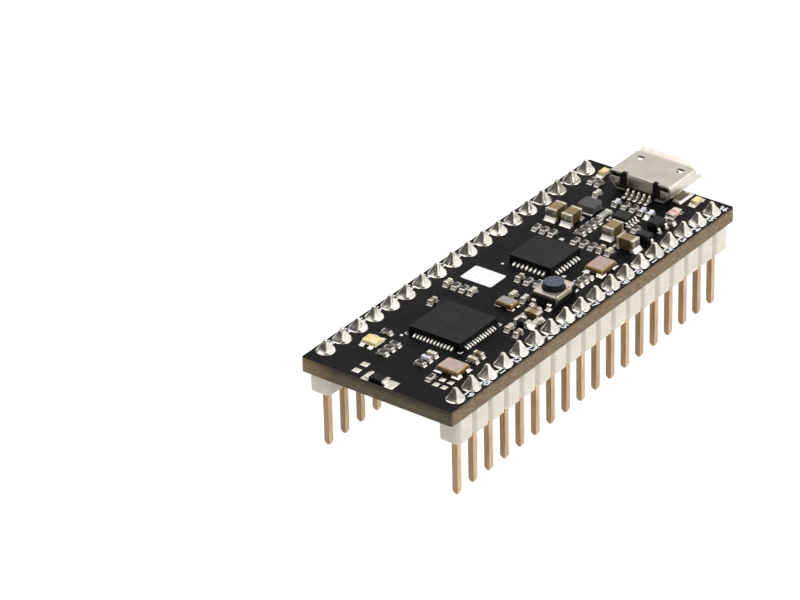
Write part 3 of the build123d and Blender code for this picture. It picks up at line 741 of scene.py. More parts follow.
surface("ceramic_grey", (142, 146, 136), (164, 168, 158), rough=(0.5, 0.65), freq=2.6,
        bump=0.006, speck=((120, 124, 114), 6.0, 0.4))
surface("ceramic_pink", (218, 172, 170), (236, 200, 196), rough=(0.3, 0.45), freq=2.6,
        bump=0.004)
surface("overcoat", (18, 18, 20), (30, 29, 31), rough=(0.22, 0.36), freq=3.0, bump=0.004)
surface("crystal_base", (84, 66, 44), (112, 90, 62), rough=(0.42, 0.55), freq=3.0,
        bump=0.006, metal=0.35)
surface("crystal_gold", (164, 134, 90), (196, 166, 120), rough=(0.26, 0.40), freq=4.0,
        bump=0.006, metal=0.85, speck=((150, 92, 40), 6.0, 0.35))
surface("ferrite_grey", (58, 57, 59), (78, 76, 78), rough=(0.5, 0.68), freq=2.4,
        bump=0.014, bump_freq=10, spec=0.35, speck=((104, 96, 98), 5.0, 0.35))
surface("ferrite_rim", (62, 60, 63), (88, 83, 85), rough=(0.45, 0.6), freq=3.0,
        bump=0.008, spec=0.35)
surface("led_cream", (206, 186, 118), (232, 222, 176), rough=(0.22, 0.36), freq=1.7, detail=5,
        bump=0.01, bump_freq=6, speck=((168, 112, 66), 3.0, 0.85),
        sss=0.25, sss_radius=(1.0, 0.8, 0.4), sss_scale=0.0003)
surface("led_base", (206, 198, 172), (228, 222, 200), rough=(0.45, 0.6), freq=4.0, bump=0.004)
surface("switch_steel", (212, 196, 188), (236, 222, 214), rough=(0.30, 0.44), freq=1.4,
        bump=0.006, bump_freq=18, bump_stretch=(1.0, 3.0, 1.0), metal=0.9,
        speck=((164, 146, 138), 3.0, 0.35))
surface("switch_skirt", (192, 182, 164), (222, 212, 196), rough=(0.30, 0.44), freq=1.6,
        bump=0.006, bump_freq=18, metal=0.7)
surface("lid_grey", (158, 154, 152), (192, 188, 184), rough=(0.34, 0.5), freq=5.0,
        bump=0.012, bump_freq=20, bump_stretch=(1.0, 3.0, 1.0), metal=0.85)
surface("steel_dark", (96, 92, 96), (132, 126, 128), rough=(0.3, 0.45), freq=2.0,
        bump=0.01, metal=0.8)
# the shell's steel painted darker as shade, for the side tabs under the shell
surface("shell_dark", (120, 108, 92), (154, 142, 124), rough=(0.32, 0.48), freq=0.9,
        stretch=(1, 1, 2.4), bump=0.01, bump_freq=8, metal=0.85)
surface("contact_gold", (176, 174, 156), (206, 204, 188), rough=(0.16, 0.3), freq=3.0,
        bump=0.008, metal=1.0)
surface("ink_white", (212, 215, 219), (230, 233, 237), rough=(0.5, 0.65), freq=2.4,
        bump=0.006, bump_freq=26, spec=0.35, speck=((176, 179, 184), 9.0, 0.45))

# ---------------------------------------------------------------------------
# board: core with drilled holes, mask on both faces
# ---------------------------------------------------------------------------
DRILL_RADIUS = 0.51
MASK_GAP = 0.03      # bare margin round lands and rings
MASK_INSET = 0.05    # from the board's edge

outline = rounded_rect(board.mid[0], board.mid[1], board.size[0], board.size[1], 0.3, 8)
mask_outline = rounded_rect(board.mid[0], board.mid[1], board.size[0] - 2 * MASK_INSET,
                            board.size[1] - 2 * MASK_INSET, 0.26, 8)
drills = [(hole.mid[0], hole.mid[1], DRILL_RADIUS) for hole in holes]
openings = [(hole.mid[0], hole.mid[1], RING_RADIUS + MASK_GAP) for hole in holes]
gaps = [(land.low[0] - MASK_GAP, land.high[0] + MASK_GAP,
         land.low[1] - MASK_GAP, land.high[1] + MASK_GAP) for land in lands]


def on_rim(edge):
    """True for edges at the board's outline, not at a drill."""
    return all(abs(v.co.y) > 8.6 or abs(v.co.x) > 23.6 for v in edge.verts)


core = Build()
core.region(outline, drills, [], float(board.low[2]), EDGE_TOP, segments=20)
core.finish("board_core", ["laminate"], "pcb_core", "laminate", bevel=0.05, where=on_rim)

for side, name, rects in (("top", "upper", gaps), ("bottom", "lower", [])):
    sheet = node_box("solder_mask_" + side)
    mask = Build()
    mask.region(mask_outline, openings, rects, float(sheet.low[2]), float(sheet.high[2]),
                segments=36)
    mask.finish("mask_" + name, ["mask"], "solder_mask_" + side, "mask")

# ---------------------------------------------------------------------------
# tracks and vias under the mask
# ---------------------------------------------------------------------------
TRACK_WIDTH = 0.15
TRACK_SPACING = 0.215    # least distance between the middles of two tracks
GRID = 0.25              # cell size of the table of laid tracks
VIA_RADIUS = 0.22
VIA_ROOM = 0.34          # from a via's middle to a mask opening
CHIP_GAP = 0.55          # from a square chip's edge to the start of its tracks
ROW_REACH = 8.2          # |y| at which tracks to the pin rows end


def elbow(start, end, axis="x", share=0.5):
    """Track from start to end along one axis, with one 45 degree stretch between."""
    start, end = np.array(start, float), np.array(end, float)
    i = 0 if axis == "x" else 1
    run, shift = end[i] - start[i], end[1 - i] - start[1 - i]
    diagonal = math.copysign(min(abs(shift), abs(run)), run)
    bend, rejoin = start.copy(), end.copy()
    bend[i] = start[i] + (run - diagonal) * share
    rejoin[i] = bend[i] + diagonal
    return [tuple(start), tuple(bend), tuple(rejoin), tuple(end)]


def path_length(points):
    return sum(np.linalg.norm(points[i + 1] - points[i]) for i in range(len(points) - 1))


def clear_runs(points, blocks):
    """Cuts a track where it would cross a block, a plated ring or the board's edge."""
    gap = 0.10

    def blocked(p):
        return (abs(p[0]) > board.high[0] - 0.35 or abs(p[1]) > board.high[1] - 0.3
                or any(x0 - gap < p[0] < x1 + gap and y0 - gap < p[1] < y1 + gap
                       for x0, x1, y0, y1 in blocks)
                or any((p[0] - x) ** 2 + (p[1] - y) ** 2 < (r + gap) ** 2
                       for x, y, r in openings))

    runs, current = [], []
    for k in range(len(points) - 1):
        a, b = np.array(points[k]), np.array(points[k + 1])
        length = np.linalg.norm(b - a)
        if length < 1e-6:
            continue
        steps = max(2, int(length / 0.08))
        for i in range(steps + 1):
            p = a + (b - a) * i / steps
            if blocked(p):
                if len(current) > 1:
                    runs.append(current)
                current = []
            elif i in (0, steps) or not current:
                if not current or np.linalg.norm(p - current[-1]) > 1e-4:
                    current.append(p)
            elif blocked(a + (b - a) * (i + 1) / steps):
                current.append(p)
    if len(current) > 1:
        runs.append(current)
    return [run for run in runs if path_length(run) > 0.7]


laid = {}


def grid_cell(p):
    return int(math.floor(p[0] / GRID)), int(math.floor(p[1] / GRID))


def crowded(p):
    """True where a laid track is too close."""
    column, row = grid_cell(p)
    for i in (column - 1, column, column + 1):
        for j in (row - 1, row, row + 1):
            for q in laid.get((i, j), ()):
                if (q[0] - p[0]) ** 2 + (q[1] - p[1]) ** 2 < TRACK_SPACING ** 2:
                    return True
    return False


def uncrossed(run):
    """Splits a run where it would meet a laid track, and books the room it takes."""
    pieces, current, taken = [], [], []
    for k in range(len(run) - 1):
        a, b = np.array(run[k], float), np.array(run[k + 1], float)
        steps = max(1, int(np.linalg.norm(b - a) / 0.07))
        for i in range(0 if k == 0 else 1, steps + 1):
            p = a + (b - a) * i / steps
            if crowded(p):
                if len(current) > 1:
                    pieces.append(current)
                current = []
            else:
                current.append((p, i in (0, steps)))
    if len(current) > 1:
        pieces.append(current)
    runs = []
    for piece in pieces:
        points = [piece[0][0]] + [p for p, corner in piece[1:-1] if corner] + [piece[-1][0]]
        distinct = all(np.linalg.norm(points[i + 1] - points[i]) > 0.02
                       for i in range(len(points) - 1))
        if path_length(points) > 0.8 and distinct:
            runs.append(points)
            taken.extend(p for p, _ in piece)
    for p in taken:
        laid.setdefault(grid_cell(p), []).append(p)
    return runs


def strip(build, points, width, z0, z1):
    """Flat-topped ridge from z0 to z1 along the points, mitred at its bends."""
    points = np.array(points, float)
    order = 1 if z1 > z0 else -1
    section = ((-width / 2 - 0.03, z0), (-width / 2, z1), (width / 2, z1), (width / 2 + 0.03, z0))
    rings = []
    for i in range(len(points)):
        before = points[i] - points[i - 1] if i else points[1] - points[0]
        after = points[i + 1] - points[i] if i < len(points) - 1 else before
        before, after = before / np.linalg.norm(before), after / np.linalg.norm(after)
        tangent = before + after
        tangent /= np.linalg.norm(tangent)
        normal = np.array([-tangent[1], tangent[0]])
        mitre = 1 / max(0.5, abs(normal @ np.array([-before[1], before[0]])))
        x, y = points[i]
        rings.append([(x + normal[0] * out * mitre, y + normal[1] * out * mitre, z)
                      for out, z in section[::order]])
    build.loft(rings, smooth=False)


def via(build, x, y, z0, z1):
    """Ring of mask from z0 to z1 with a dimple in its middle."""
    turn = 1 if z1 > z0 else -1
    r = VIA_RADIUS
    profile = ((r + 0.03, z0), (r, z1), (r * 0.55, z1), (r * 0.4, z0 + (z1 - z0) * 0.45))
    build.loft([lift(circle(x, y, radius, 16, turn), z) for radius, z in profile])


def planned_tracks():
    tracks = []
    for i in range(12):
        across = (i - 5.5) * 0.40
        x, y = mcu.mid[0] + across, mcu.mid[1] + across
        # to the far pin row, to the near pin row, and to the -x end
        tracks.append(elbow((x, mcu.high[1] + CHIP_GAP), (mcu.mid[0] + across * 2.3, ROW_REACH),
                            "y", 0.35))
        tracks.append(elbow((x, mcu.low[1] - CHIP_GAP), (mcu.mid[0] + across * 2.2, -ROW_REACH),
                            "y", 0.25))
        tracks.append(elbow((mcu.low[0] - CHIP_GAP, y), (-22.8, mcu.mid[1] + across * 1.15 - 0.6)))
        # across to the second square chip
        if i < 10:
            tracks.append(elbow((mcu.high[0] + CHIP_GAP, y + 0.1),
                                (bridge.low[0] - CHIP_GAP, bridge.mid[1] - 1.9 + i * 0.33),
                                "x", 0.15 + 0.04 * i))
    for i in range(8):
        across = (i - 3.5) * 0.5
        x, y = bridge.mid[0] + across, bridge.mid[1] + across
        # to the far row, to the socket, and to the near row
        tracks.append(elbow((x, bridge.high[1] + CHIP_GAP),
                            (bridge.mid[0] + 3.4 + across * 0.62, ROW_REACH), "y", 0.2))
        tracks.append(elbow((bridge.high[0] + CHIP_GAP, y), (19.0, 0.4 + across * 0.5), "x", 0.55))
        tracks.append(elbow((x, bridge.low[1] - CHIP_GAP),
                            (bridge.mid[0] + 1.0 + across * 1.7, -ROW_REACH), "y", 0.3))
    # long runs beside the far row
    for i in range(5):
        y = 6.42 - 0.30 * i
        if i < 2:
            tracks.append([(-20.5 + i * 0.7, y), (-3.0 + i * 0.30, y), (-2.0 + i * 0.3, y - 1.0),
                           (0.6, y - 1.0)])
        else:
            tracks.append([(0.5 + i * 0.3, y + 0.2), (17.0 - i * 0.5, y + 0.2)])
    # short runs towards the -x end
    for i in range(4):
        y = -3.95 - 0.3 * i
        tracks.append([(-15.6 - i * 0.3, -3.35), (-15.0 - i * 0.30, y), (-9.4, y)])
        y = 6.3 - i * 0.32
        tracks.append([(-22.9, y), (-20.9 + i * 0.12, y),
                       (-20.3 + i * 0.12, 5.7 - i * 0.32), (-19.4, 5.7 - i * 0.32)])
    # two parallel runs from the socket
    tracks.append([(18.8, 0.33), (17.9, 0.33), (16.9, 1.33), (9.6, 1.33)])
    tracks.append([(18.8, -0.33), (17.7, -0.33), (16.4, 0.97), (9.6, 0.97)])
    return tracks


def apart(p, distance):
    return all((p[0] - s[0]) ** 2 + (p[1] - s[1]) ** 2 > distance ** 2 for s in spots)


def near_land(p):
    return any(x0 - VIA_ROOM < p[0] < x1 + VIA_ROOM and y0 - VIA_ROOM < p[1] < y1 + VIA_ROOM
               for x0, x1, y0, y1 in gaps)


def near_ring(p):
    return any((p[0] - x) ** 2 + (p[1] - y) ** 2 < (r + VIA_ROOM) ** 2 for x, y, r in openings)


mcu, bridge = node_box("mcu_body"), node_box("usb_bridge_body")
relief = Build()
ends = []
for track in planned_tracks():
    for clear in clear_runs(track, gaps):
        for run in uncrossed(clear):
            strip(relief, run, TRACK_WIDTH, MASK_TOP - 0.006, MASK_TOP + 0.016)
            ends.append(run[-1])

# vias at the track ends, then scattered ones up to 130 in all
spots = []
for end in ends:
    if apart(end, 0.55) and not near_land(end) and not near_ring(end):
        spots.append((float(end[0]), float(end[1])))
for _ in range(400):
    point = (rng.uniform(-22.8, 18.5), rng.uniform(-6.3, 6.3))
    if len(spots) < 130 and apart(point, 0.8) and not near_land(point):
        spots.append(point)
for x, y in spots:
    via(relief, x, y, MASK_TOP - 0.006, MASK_TOP + 0.020)
relief.finish("mask_relief_upper", ["mask"], slot="mask", sharp=20)

relief = Build()
for i in range(11):
    y = 5.4 - i * 1.02
    track = [(-21.5 + (i % 3) * 1.3, y), (-9.0 + i * 0.9, y), (-8.4 + i * 0.9, y - 0.6),
             (19.5 - (i % 4) * 1.5, y - 0.6)]
    for run in clear_runs(track, []):
        strip(relief, run, 0.18 if i % 4 else 0.5, MASK_UNDER + 0.006, MASK_UNDER - 0.016)
for x, y in spots[::2]:
    via(relief, x, y, MASK_UNDER + 0.006, MASK_UNDER - 0.020)
relief.finish("mask_relief_lower", ["mask"], slot="mask", sharp=20)

# ---------------------------------------------------------------------------
# white ink
# ---------------------------------------------------------------------------
HALF_WIDTH = board.high[1]
PIN_COUNT = len(near_pins)
INK_LINE = 0.10     # width of thin marks
INK_THICK = 0.024


def number_mesh(text):
    """Vertices and faces of a flat number, centred and facing +z."""
    curve = bpy.data.curves.new("n" + text, "FONT")
    curve.body = text
    curve.size = 1.12
    curve.extrude = 0.012
    curve.offset = 0.018
    curve.align_x = "CENTER"
    curve.align_y = "CENTER"
    curve.resolution_u = 3
    holder = bpy.data.objects.new("n" + text, curve)
    scene.collection.objects.link(holder)
    shaped = holder.evaluated_get(bpy.context.evaluated_depsgraph_get())
    mesh = shaped.to_mesh()
    verts = np.array([tuple(v.co) for v in mesh.vertices])
    faces = [list(p.vertices) for p in mesh.polygons]
    shaped.to_mesh_clear()
    bpy.data.objects.remove(holder)
    bpy.data.curves.remove(curve)
    return verts, faces


# pin numbers: the tops of the digits point to +x
ink = Build()
for row, sign in ((far_pins, 1), (near_pins, -1)):
    for i, x in enumerate(sorted(float(pin.mid[0]) for pin in row)):
        number = (PIN_COUNT - i) if sign > 0 else (PIN_COUNT + 1 + i)
        verts, faces = number_mesh(str(number))
        verts = verts * np.array([0.90, 0.98, 1.0])
        verts = np.column_stack([verts[:, 1], -verts[:, 0], verts[:, 2]])
        step = PITCH / 2 if i < PIN_COUNT - 1 else 1.22
        verts += np.array([x + step, sign * (HALF_WIDTH - 0.66), MASK_TOP + 0.014])
        ink.add(verts, faces, smooth=False)
ink.finish("ink_numbers", ["ink_white"], weld=True)

# thin bars beside every third number
ink = Build()
for row, sign in ((far_pins, 1), (near_pins, -1)):
    for pin in row[1:-1:3]:
        ink.box((pin.mid[0] + PITCH / 2 + 0.50, sign * (HALF_WIDTH - 0.45), MASK_TOP + 0.010),
                (INK_LINE, 0.62, INK_THICK), 0.006, 1)
# plain panel between the two square chips
panel = rounded_rect((mcu.high[0] + bridge.low[0]) / 2 + 1.45, 3.55, 2.7, 3.7, 0.22, 5)
ink.loft([lift(panel, MASK_TOP - 0.004), lift(panel, MASK_TOP + 0.030)], smooth=False)
# a dot by one corner of each square chip
for x, y, radius in ((mcu.low[0] - 0.75, mcu.high[1] + 0.35, 0.16),
                     (bridge.low[0] - 0.70, bridge.high[1] + 0.30, 0.14)):
    dot = circle(x, y, radius, 20)
    ink.loft([lift(dot, MASK_TOP - 0.002), lift(dot, MASK_TOP + 0.026)], smooth=False)
# corner marks around the large chip
for side_x in SIDES:
    for side_y in SIDES:
        x = (mcu.high[0] if side_x > 0 else mcu.low[0]) + side_x * 0.30
        y = (mcu.high[1] if side_y > 0 else mcu.low[1]) + side_y * 0.30
        ink.box((x - side_x * 0.16, y, MASK_TOP + 0.010), (0.42, INK_LINE, INK_THICK), 0.006, 1)
        ink.box((x, y - side_y * 0.16, MASK_TOP + 0.009), (INK_LINE, 0.42, INK_THICK), 0.006, 1)
ink.finish("ink_panel", ["ink_white"])

# ---------------------------------------------------------------------------
# headers: insulators, pins, solder cones
# ---------------------------------------------------------------------------
NOTCH = 0.42        # cut corner between two pin places
PIN_HOLE = 0.33     # half side of the square hole


def header_insulator(node, pins, name):
    """A strip of eight-sided blocks, one per pin, joined end to end."""
    box = node_box(node)
    half_width, half_pitch = box.size[1] / 2, PITCH / 2
    middle = float(box.mid[1])
    inner_x, inner_y = half_pitch - NOTCH, half_width - NOTCH
    octagon = [(-half_pitch, -inner_y), (-inner_x, -half_width), (inner_x, -half_width),
               (half_pitch, -inner_y), (half_pitch, inner_y), (inner_x, half_width),
               (-inner_x, half_width), (-half_pitch, inner_y)]
    square = [(-PIN_HOLE, -PIN_HOLE), (PIN_HOLE, -PIN_HOLE), (PIN_HOLE, PIN_HOLE),
              (-PIN_HOLE, PIN_HOLE)]
    # vertices 0-7 are the octagon, 8-11 the square
    annulus = [(1, 2, 9, 8), (2, 3, 9), (3, 4, 10, 9), (4, 5, 10), (5, 6, 11, 10), (6, 7, 11),
               (7, 0, 8, 11), (0, 1, 8)]
    strip_build = Build()
    xs = sorted(float(pin.mid[0]) for pin in pins)
    for n, x in enumerate(xs):
        verts = [(x + dx, box.mid[1] + dy, z) for z in (float(box.low[2]), float(box.high[2]))
                 for dx, dy in octagon + square]
        faces = [tuple(i + 12 for i in face) for face in annulus]
        faces += [tuple(reversed(face)) for face in annulus]
        for i in range(8):
            joined = (i == 3 and n < len(xs) - 1) or (i == 7 and n > 0)
            if not joined:
                j = (i + 1) % 8
                faces.append((i, j, j + 12, i + 12))
        for i in range(4):
            j = (i + 1) % 4
            faces.append((8 + j, 8 + i, 20 + i, 20 + j))
        strip_build.add(verts, faces)

    def outer(edge):
        places = [(abs(v.co.y - middle), abs(v.co.x)) for v in edge.verts]
        return (all(y > 0.5 or x > 22.0 for y, x in places)
                and any(y > 0.6 or x > 22.5 for y, x in places))

    strip_build.finish(name, ["insulator"], node, "insulator", bevel=0.11, segments=3,
                       bevel_angle=30, where=outer, weld=True, weighted=True)


def header_pins(node, pins, name):
    """Square pins, tapered at both ends and each a little off true."""
    build = Build()
    for pin in pins:
        x, y = float(pin.mid[0]), float(pin.mid[1])
        tip, top = float(pin.low[2]), float(pin.high[2]) - 0.30
        side = float(pin.size[0])
        build.retone()
        dx, dy = rng.uniform(-0.012, 0.012), rng.uniform(-0.012, 0.012)
        # (z, share of the full width)
        profile = [(tip, 0.50), (tip + 0.03, 0.58), (tip + 0.14, 0.74), (tip + 0.26, 0.90),
                   (tip + 0.38, 1.0), (tip + 2.0, 1.0), (tip + 6.0, 1.0), (MASK_TOP + 0.10, 1.0),
                   (MASK_TOP + 0.55, 0.76), (MASK_TOP + 0.90, 0.58), (top - 0.08, 0.46),
                   (top - 0.02, 0.38), (top, 0.26)]
        rings = []
        for z, share in profile:
            bend = (z - 4) / -10.0
            radius = 0.055 * (1.0 if share > 0.95 else 1.6)
            rings.append(lift(rounded_rect(x + dx * bend, y + dy * bend, side * share,
                                           side * share, radius, 2), z))
        build.loft(rings)
    build.finish(name, ["gold"], node, "gold", sharp=45)


def solder_cones(node, pins, name):
    """Solder drawn up each pin as a four-sided peak that flares into its ring."""
    build = Build()
    node_top = float(node_box(node).high[2])
    around, levels = 72, 16
    neck = 0.165                        # half width at the peak
    ring_radius = RING_RADIUS - 0.005
    foot_z = PAD_TOP + 0.032
    for pin in pins:
        x, y = float(pin.mid[0]), float(pin.mid[1])
        seed = Vector((x * 1.7, y * 0.9, 3.0))
        build.retone()
        peak = node_top + rng.uniform(0.06, 0.20)
        power = rng.uniform(1.10, 1.38)
        foot_half = rng.uniform(0.77, 0.85)
        lean = (rng.uniform(-0.03, 0.03), rng.uniform(-0.03, 0.03))
        twist = math.radians(rng.uniform(-7, 7))
        hollows = [rng.uniform(-0.13, 0.02) for _ in range(4)]
        rings = turned(x, y, ((ring_radius, PAD_TOP), (ring_radius - 0.012, PAD_TOP + 0.018)),
                       around)
        for level in range(levels + 1):
            t = (level / levels) ** 1.25
            z = foot_z + (peak - foot_z) * t - (0.0 if level else 0.004)
            half = neck + (foot_half - neck) * (1 - t) ** power
            ring = []
            for i in range(around):
                a = 2 * math.pi * i / around
                c, s = math.cos(a), math.sin(a)
                square = max(abs(math.cos(a - twist * t)), abs(math.sin(a - twist * t)))
                r = min(half / square, half * 1.29)
                dent = sum(hollow * max(0.0, math.cos(a - d * math.pi / 2)) ** 4
                           for d, hollow in enumerate(hollows))
                r *= 1 + dent * math.sin(math.pi * min(1.0, t * 1.2))
                flow = noise.noise(seed + Vector((c * 2.6, s * 2.6, t * 0.5)))
                lump = noise.noise(seed + Vector((c * 1.1, s * 1.1, t * 2.2 + 7.0)))
                r *= 1 + (0.07 * flow + 0.05 * lump) * math.sin(math.pi * min(1.0, t + 0.10))
                r = min(r, ring_radius - 0.03)
                ring.append((x + r * c + lean[0] * t, y + r * s + lean[1] * t, z))
            rings.append(ring)
        tip_x, tip_y = x + lean[0], y + lean[1]
        rings.append([(tip_x + (px - tip_x) * 0.8, tip_y + (py - tip_y) * 0.8, pz + 0.035)
                      for px, py, pz in rings[-1]])
        base = [(px, py, PAD_TOP - 0.03) for px, py, _ in rings[0]]
        build.loft([base] + rings)
    build.finish(name, ["solder"], node, "solder", sharp=70)


ROWS = (("right", near_pins, "near_row"), ("left", far_pins, "far_row"))
for maker, node, name in ((header_insulator, "header_insulator_", "insulator_"),
                          (header_pins, "header_pins_", "pins_"),
                          (solder_cones, "solder_joints_", "solder_cones_")):
    for side, pins, row_name in ROWS:
        maker(node + side, pins, name + row_name)

# ---------------------------------------------------------------------------
# solder on the surface parts: one object, filled by the sections below
# ---------------------------------------------------------------------------
solder = Build()


def fillet(point, stations, inward=(0, 0), shrink=None, radius=0.12, retone=True):
    """Solder on the land under a point; returns whether there is a land.

    stations are (t, height above the land). By t = 1 the outline has moved by inward
    and lost shrink in size, or the whole land's size where shrink is None.
    """
    land = land_at(point)
    if land is None:
        return False
    if retone:
        solder.retone()
    size = land.size[:2]
    shrink = size if shrink is None else np.array(shrink)
    rings = []
    for t, height in ((0, -0.004),) + stations:
        x, y = land.mid[:2] + np.array(inward) * t
        length, width = size - shrink * t
        rings.append(lift(rounded_rect(x, y, length, width, radius), PAD_TOP + height))
    solder.loft(rings)
    return True


def foot(end, share):
    """Concave solder from the land up to a share of a chip end's height."""
    land = land_at(end.mid)
    if land is None:
        return
    solder.retone()
    height = float(end.size[2]) * share * rng.uniform(0.9, 1.08)
    power = rng.uniform(1.35, 1.75) if end.size[2] > 1 else rng.uniform(1.6, 2.2)
    land_size = land.size[:2] * (1.0 + 0.02 * rng.uniform(-1, 1))
    end_size = end.size[:2] + 0.03
    rings = []
    for i, s in enumerate((0.0, 0.0, 0.18, 0.36, 0.54, 0.70, 0.84, 0.94, 1.0)):
        z = PAD_TOP + 0.018 + (height - 0.018) * s ** power if i else PAD_TOP - 0.004
        x, y = land.mid[:2] * (1 - s) + end.mid[:2] * s
        length, width = land_size * (1 - s) + end_size * s
        radius = min(length, width) * (0.30 - 0.12 * s)
        rings.append(lift(rounded_rect(x, y, length, width, radius), z))
    solder.loft(rings)


# ---------------------------------------------------------------------------
# square leadless chips
# ---------------------------------------------------------------------------
# (share of the way in, height) of the solder at each terminal
TERMINAL_SOLDER = ((0, -0.005), (0.0, 0.03), (0.10, 0.075), (0.30, 0.115), (0.55, 0.145),
                   (0.80, 0.175), (1.0, 0.20))


def terminal_solder(box, lead):
    """Solder reaching out from one terminal at the edge of a square chip."""
    offset = lead.mid - box.mid
    axis = 0 if abs(offset[0]) > abs(offset[1]) else 1
    sign = 1 if offset[axis] > 0 else -1
    edge = box.high[axis] if sign > 0 else box.low[axis]
    width, across = float(lead.size[1 - axis]), float(lead.mid[1 - axis])
    full_reach = 0.46 + rng.uniform(-0.03, 0.02)
    solder.retone()
    height = rng.uniform(0.22, 0.29)
    back = -0.12
    rings = []
    for s, z in TERMINAL_SOLDER:
        reach = full_reach * (1 - s) + 0.03 * s
        size = (reach - back, (width + 0.02) * (1 - s) + (width * 0.66) * s)
        mid = (edge + sign * (reach + back) / 2, across)
        if axis == 1:
            size, mid = size[::-1], mid[::-1]
        rings.append(lift(rounded_rect(*mid, *size, min(size) * 0.42),
                          PAD_TOP + z * height / 0.20))
    solder.loft(rings)


def square_chip(body, leads, name):
    box = node_box(body)
    block = Build()
    block.box(box.mid, box.size, 0.035)
    block.finish(name, ["mould_black"], body, "mould_black", weighted=True)
    terminals = Build()
    for lead in islands(leads):
        terminals.box(lead.mid, lead.size, 0.02, 1)
        is_middle_pad = lead.size[0] > 1 and lead.size[1] > 1
        if not is_middle_pad:
            terminal_solder(box, lead)
    terminals.finish(name + "_terminals", ["tin"], leads, "tin")


square_chip("mcu_body", "mcu_leads", "controller_chip")
square_chip("usb_bridge_body", "usb_bridge_leads", "bridge_chip")

# ---------------------------------------------------------------------------
# two-ended chips
# ---------------------------------------------------------------------------
# node, object, material, slot, edge radius, jitter
CHIP_BODIES = (
    ("bulk_capacitor_bodies", "capacitor_bodies_large", "ceramic_tan", "ceramic_tan", 0.05, 0),
    ("brown_capacitor_bodies", "capacitor_bodies_brown", "ceramic_brown", "ceramic_brown", 0.05, 0),
    ("pale_capacitor_bodies", "capacitor_bodies_pale", "ceramic_pale", "ceramic_pale", 0.05, 0),
    ("resistor_bodies", "resistor_blocks", "ceramic_white", "ceramic_white", 0.02, 0),
    ("ferrite_bead_bodies", "bead_blocks", "ceramic_lilac", "ceramic_lilac", 0.20, 0.06),
    ("shunt_body", "shunt_strip", "ceramic_grey", "ceramic_grey", 0.04, 0),
    ("diode_body", "diode_block", "mould_deep", "mould_black", 0.06, 0),
    ("end_chip_body", "end_chip_block", "mould_black", "mould_black", 0.05, 0),
    ("fuse_body", "pink_chip_block", "ceramic_pink", "ceramic_pink", 0.05, 0),
)
# node, object, material, edge radius, share of the end's height that solder climbs
CHIP_ENDS = (
    ("bulk_capacitor_ends", "capacitor_ends_large", "tin_matt", 0.085, 0.28),
    ("small_capacitor_ends", "capacitor_ends_small", "tin", 0.07, 0.62),
    ("resistor_ends", "resistor_end_caps", "tin", 0.045, 0.80),
    ("ferrite_bead_ends", "bead_end_caps", "tin", 0.08, 0.62),
    ("misc_chip_ends", "other_end_caps", "tin", 0.05, 0.70),
)
FLAT_CHIPS = ("shunt_body", "fuse_body")
FLAT_SHARE = 0.55

chips = [(box, row[0]) for row in CHIP_BODIES for box in islands(row[0])]


def chip_of(part):
    """The (box, node) of the chip nearest to a part."""
    return min(chips, key=lambda chip: (chip[0].mid[0] - part.mid[0]) ** 2
               + (chip[0].mid[1] - part.mid[1]) ** 2)


for node, name, mat, radius, share in CHIP_ENDS:
    build = Build()
    for end in islands(node):
        build.retone()
        build.box(end.mid, end.size, radius, 3, jitter=0.02)
        foot(end, FLAT_SHARE if chip_of(end)[1] in FLAT_CHIPS else share)
    build.finish(name, [mat], node, "tin")

for node, name, mat, slot, radius, jitter in CHIP_BODIES:
    build = Build()
    mats = [mat]
    for box in islands(node):
        build.retone()
        build.box(box.mid, box.size, radius, 3, jitter=jitter)
    if node == "fuse_body":
        # two dark bars on top
        mats.append("crystal_base")
        for shift in (-0.10, 0.14):
            build.box((box.mid[0] + shift, box.mid[1], box.high[2] + 0.001),
                      (0.10, 0.62, 0.012), 0.004, 1, mat=1)
    build.finish(name, mats, node, slot)

glaze = Build()
for coat in islands("resistor_overcoats"):
    chip = chip_of(coat)[0]
    length, width = (0.68, 0.47) if chip.size[0] > chip.size[1] else (0.47, 0.68)
    glaze.retone()
    glaze.box((coat.mid[0], coat.mid[1], coat.high[2] - 0.004), (length, width, 0.035), 0.012)
glaze.finish("resistor_top_glaze", ["overcoat"], "resistor_overcoats", "overcoat")

# ---------------------------------------------------------------------------
# low solder domes on the lands
# ---------------------------------------------------------------------------
# (share of the land, fixed height, share of the dome's height)
DOME = ((1.0, -0.006, 0), (0.99, 0.010, 0), (0.90, 0, 0.6), (0.68, 0, 0.9), (0.36, 0, 1.0))

domes = Build()
for land in lands:
    domes.retone()
    x, y, _ = land.mid
    length, width, _ = land.size
    narrow = min(length, width)
    height = min(0.075, 0.11 * narrow)
    if narrow >= 0.3:
        domes.loft([lift(rounded_rect(x, y, length * s, width * s, 0.22 * narrow),
                         PAD_TOP + fixed + share * height) for s, fixed, share in DOME])
domes.finish("land_solder", ["solder"], slot="solder")

# ---------------------------------------------------------------------------
# small moulded chips with formed leads
# ---------------------------------------------------------------------------
for node, name in (("regulator_body", "regulator_block"),
                   ("transistor_bodies", "transistor_blocks")):
    build = Build()
    for box in islands(node):
        if box.size[0] < 0.8 or box.size[1] < 0.8:
            continue
        build.retone()
        height = float(box.size[2])
        waist = height * 0.45
        profile = [(0, 0.10), (0.02, 0.08), (waist, 0.0), (waist + 0.03, 0.0),
                   (height - 0.05, 0.06), (height - 0.012, 0.085), (height, 0.12)]
        build.loft(stacked(box, profile, 3, 0.05))
    build.finish(name, ["mould_deep"], node, "mould_black", sharp=50)

LEAD_SOLDER = ((0, 0.02), (0.16, 0.05), (0.34, 0.085), (0.48, 0.11))


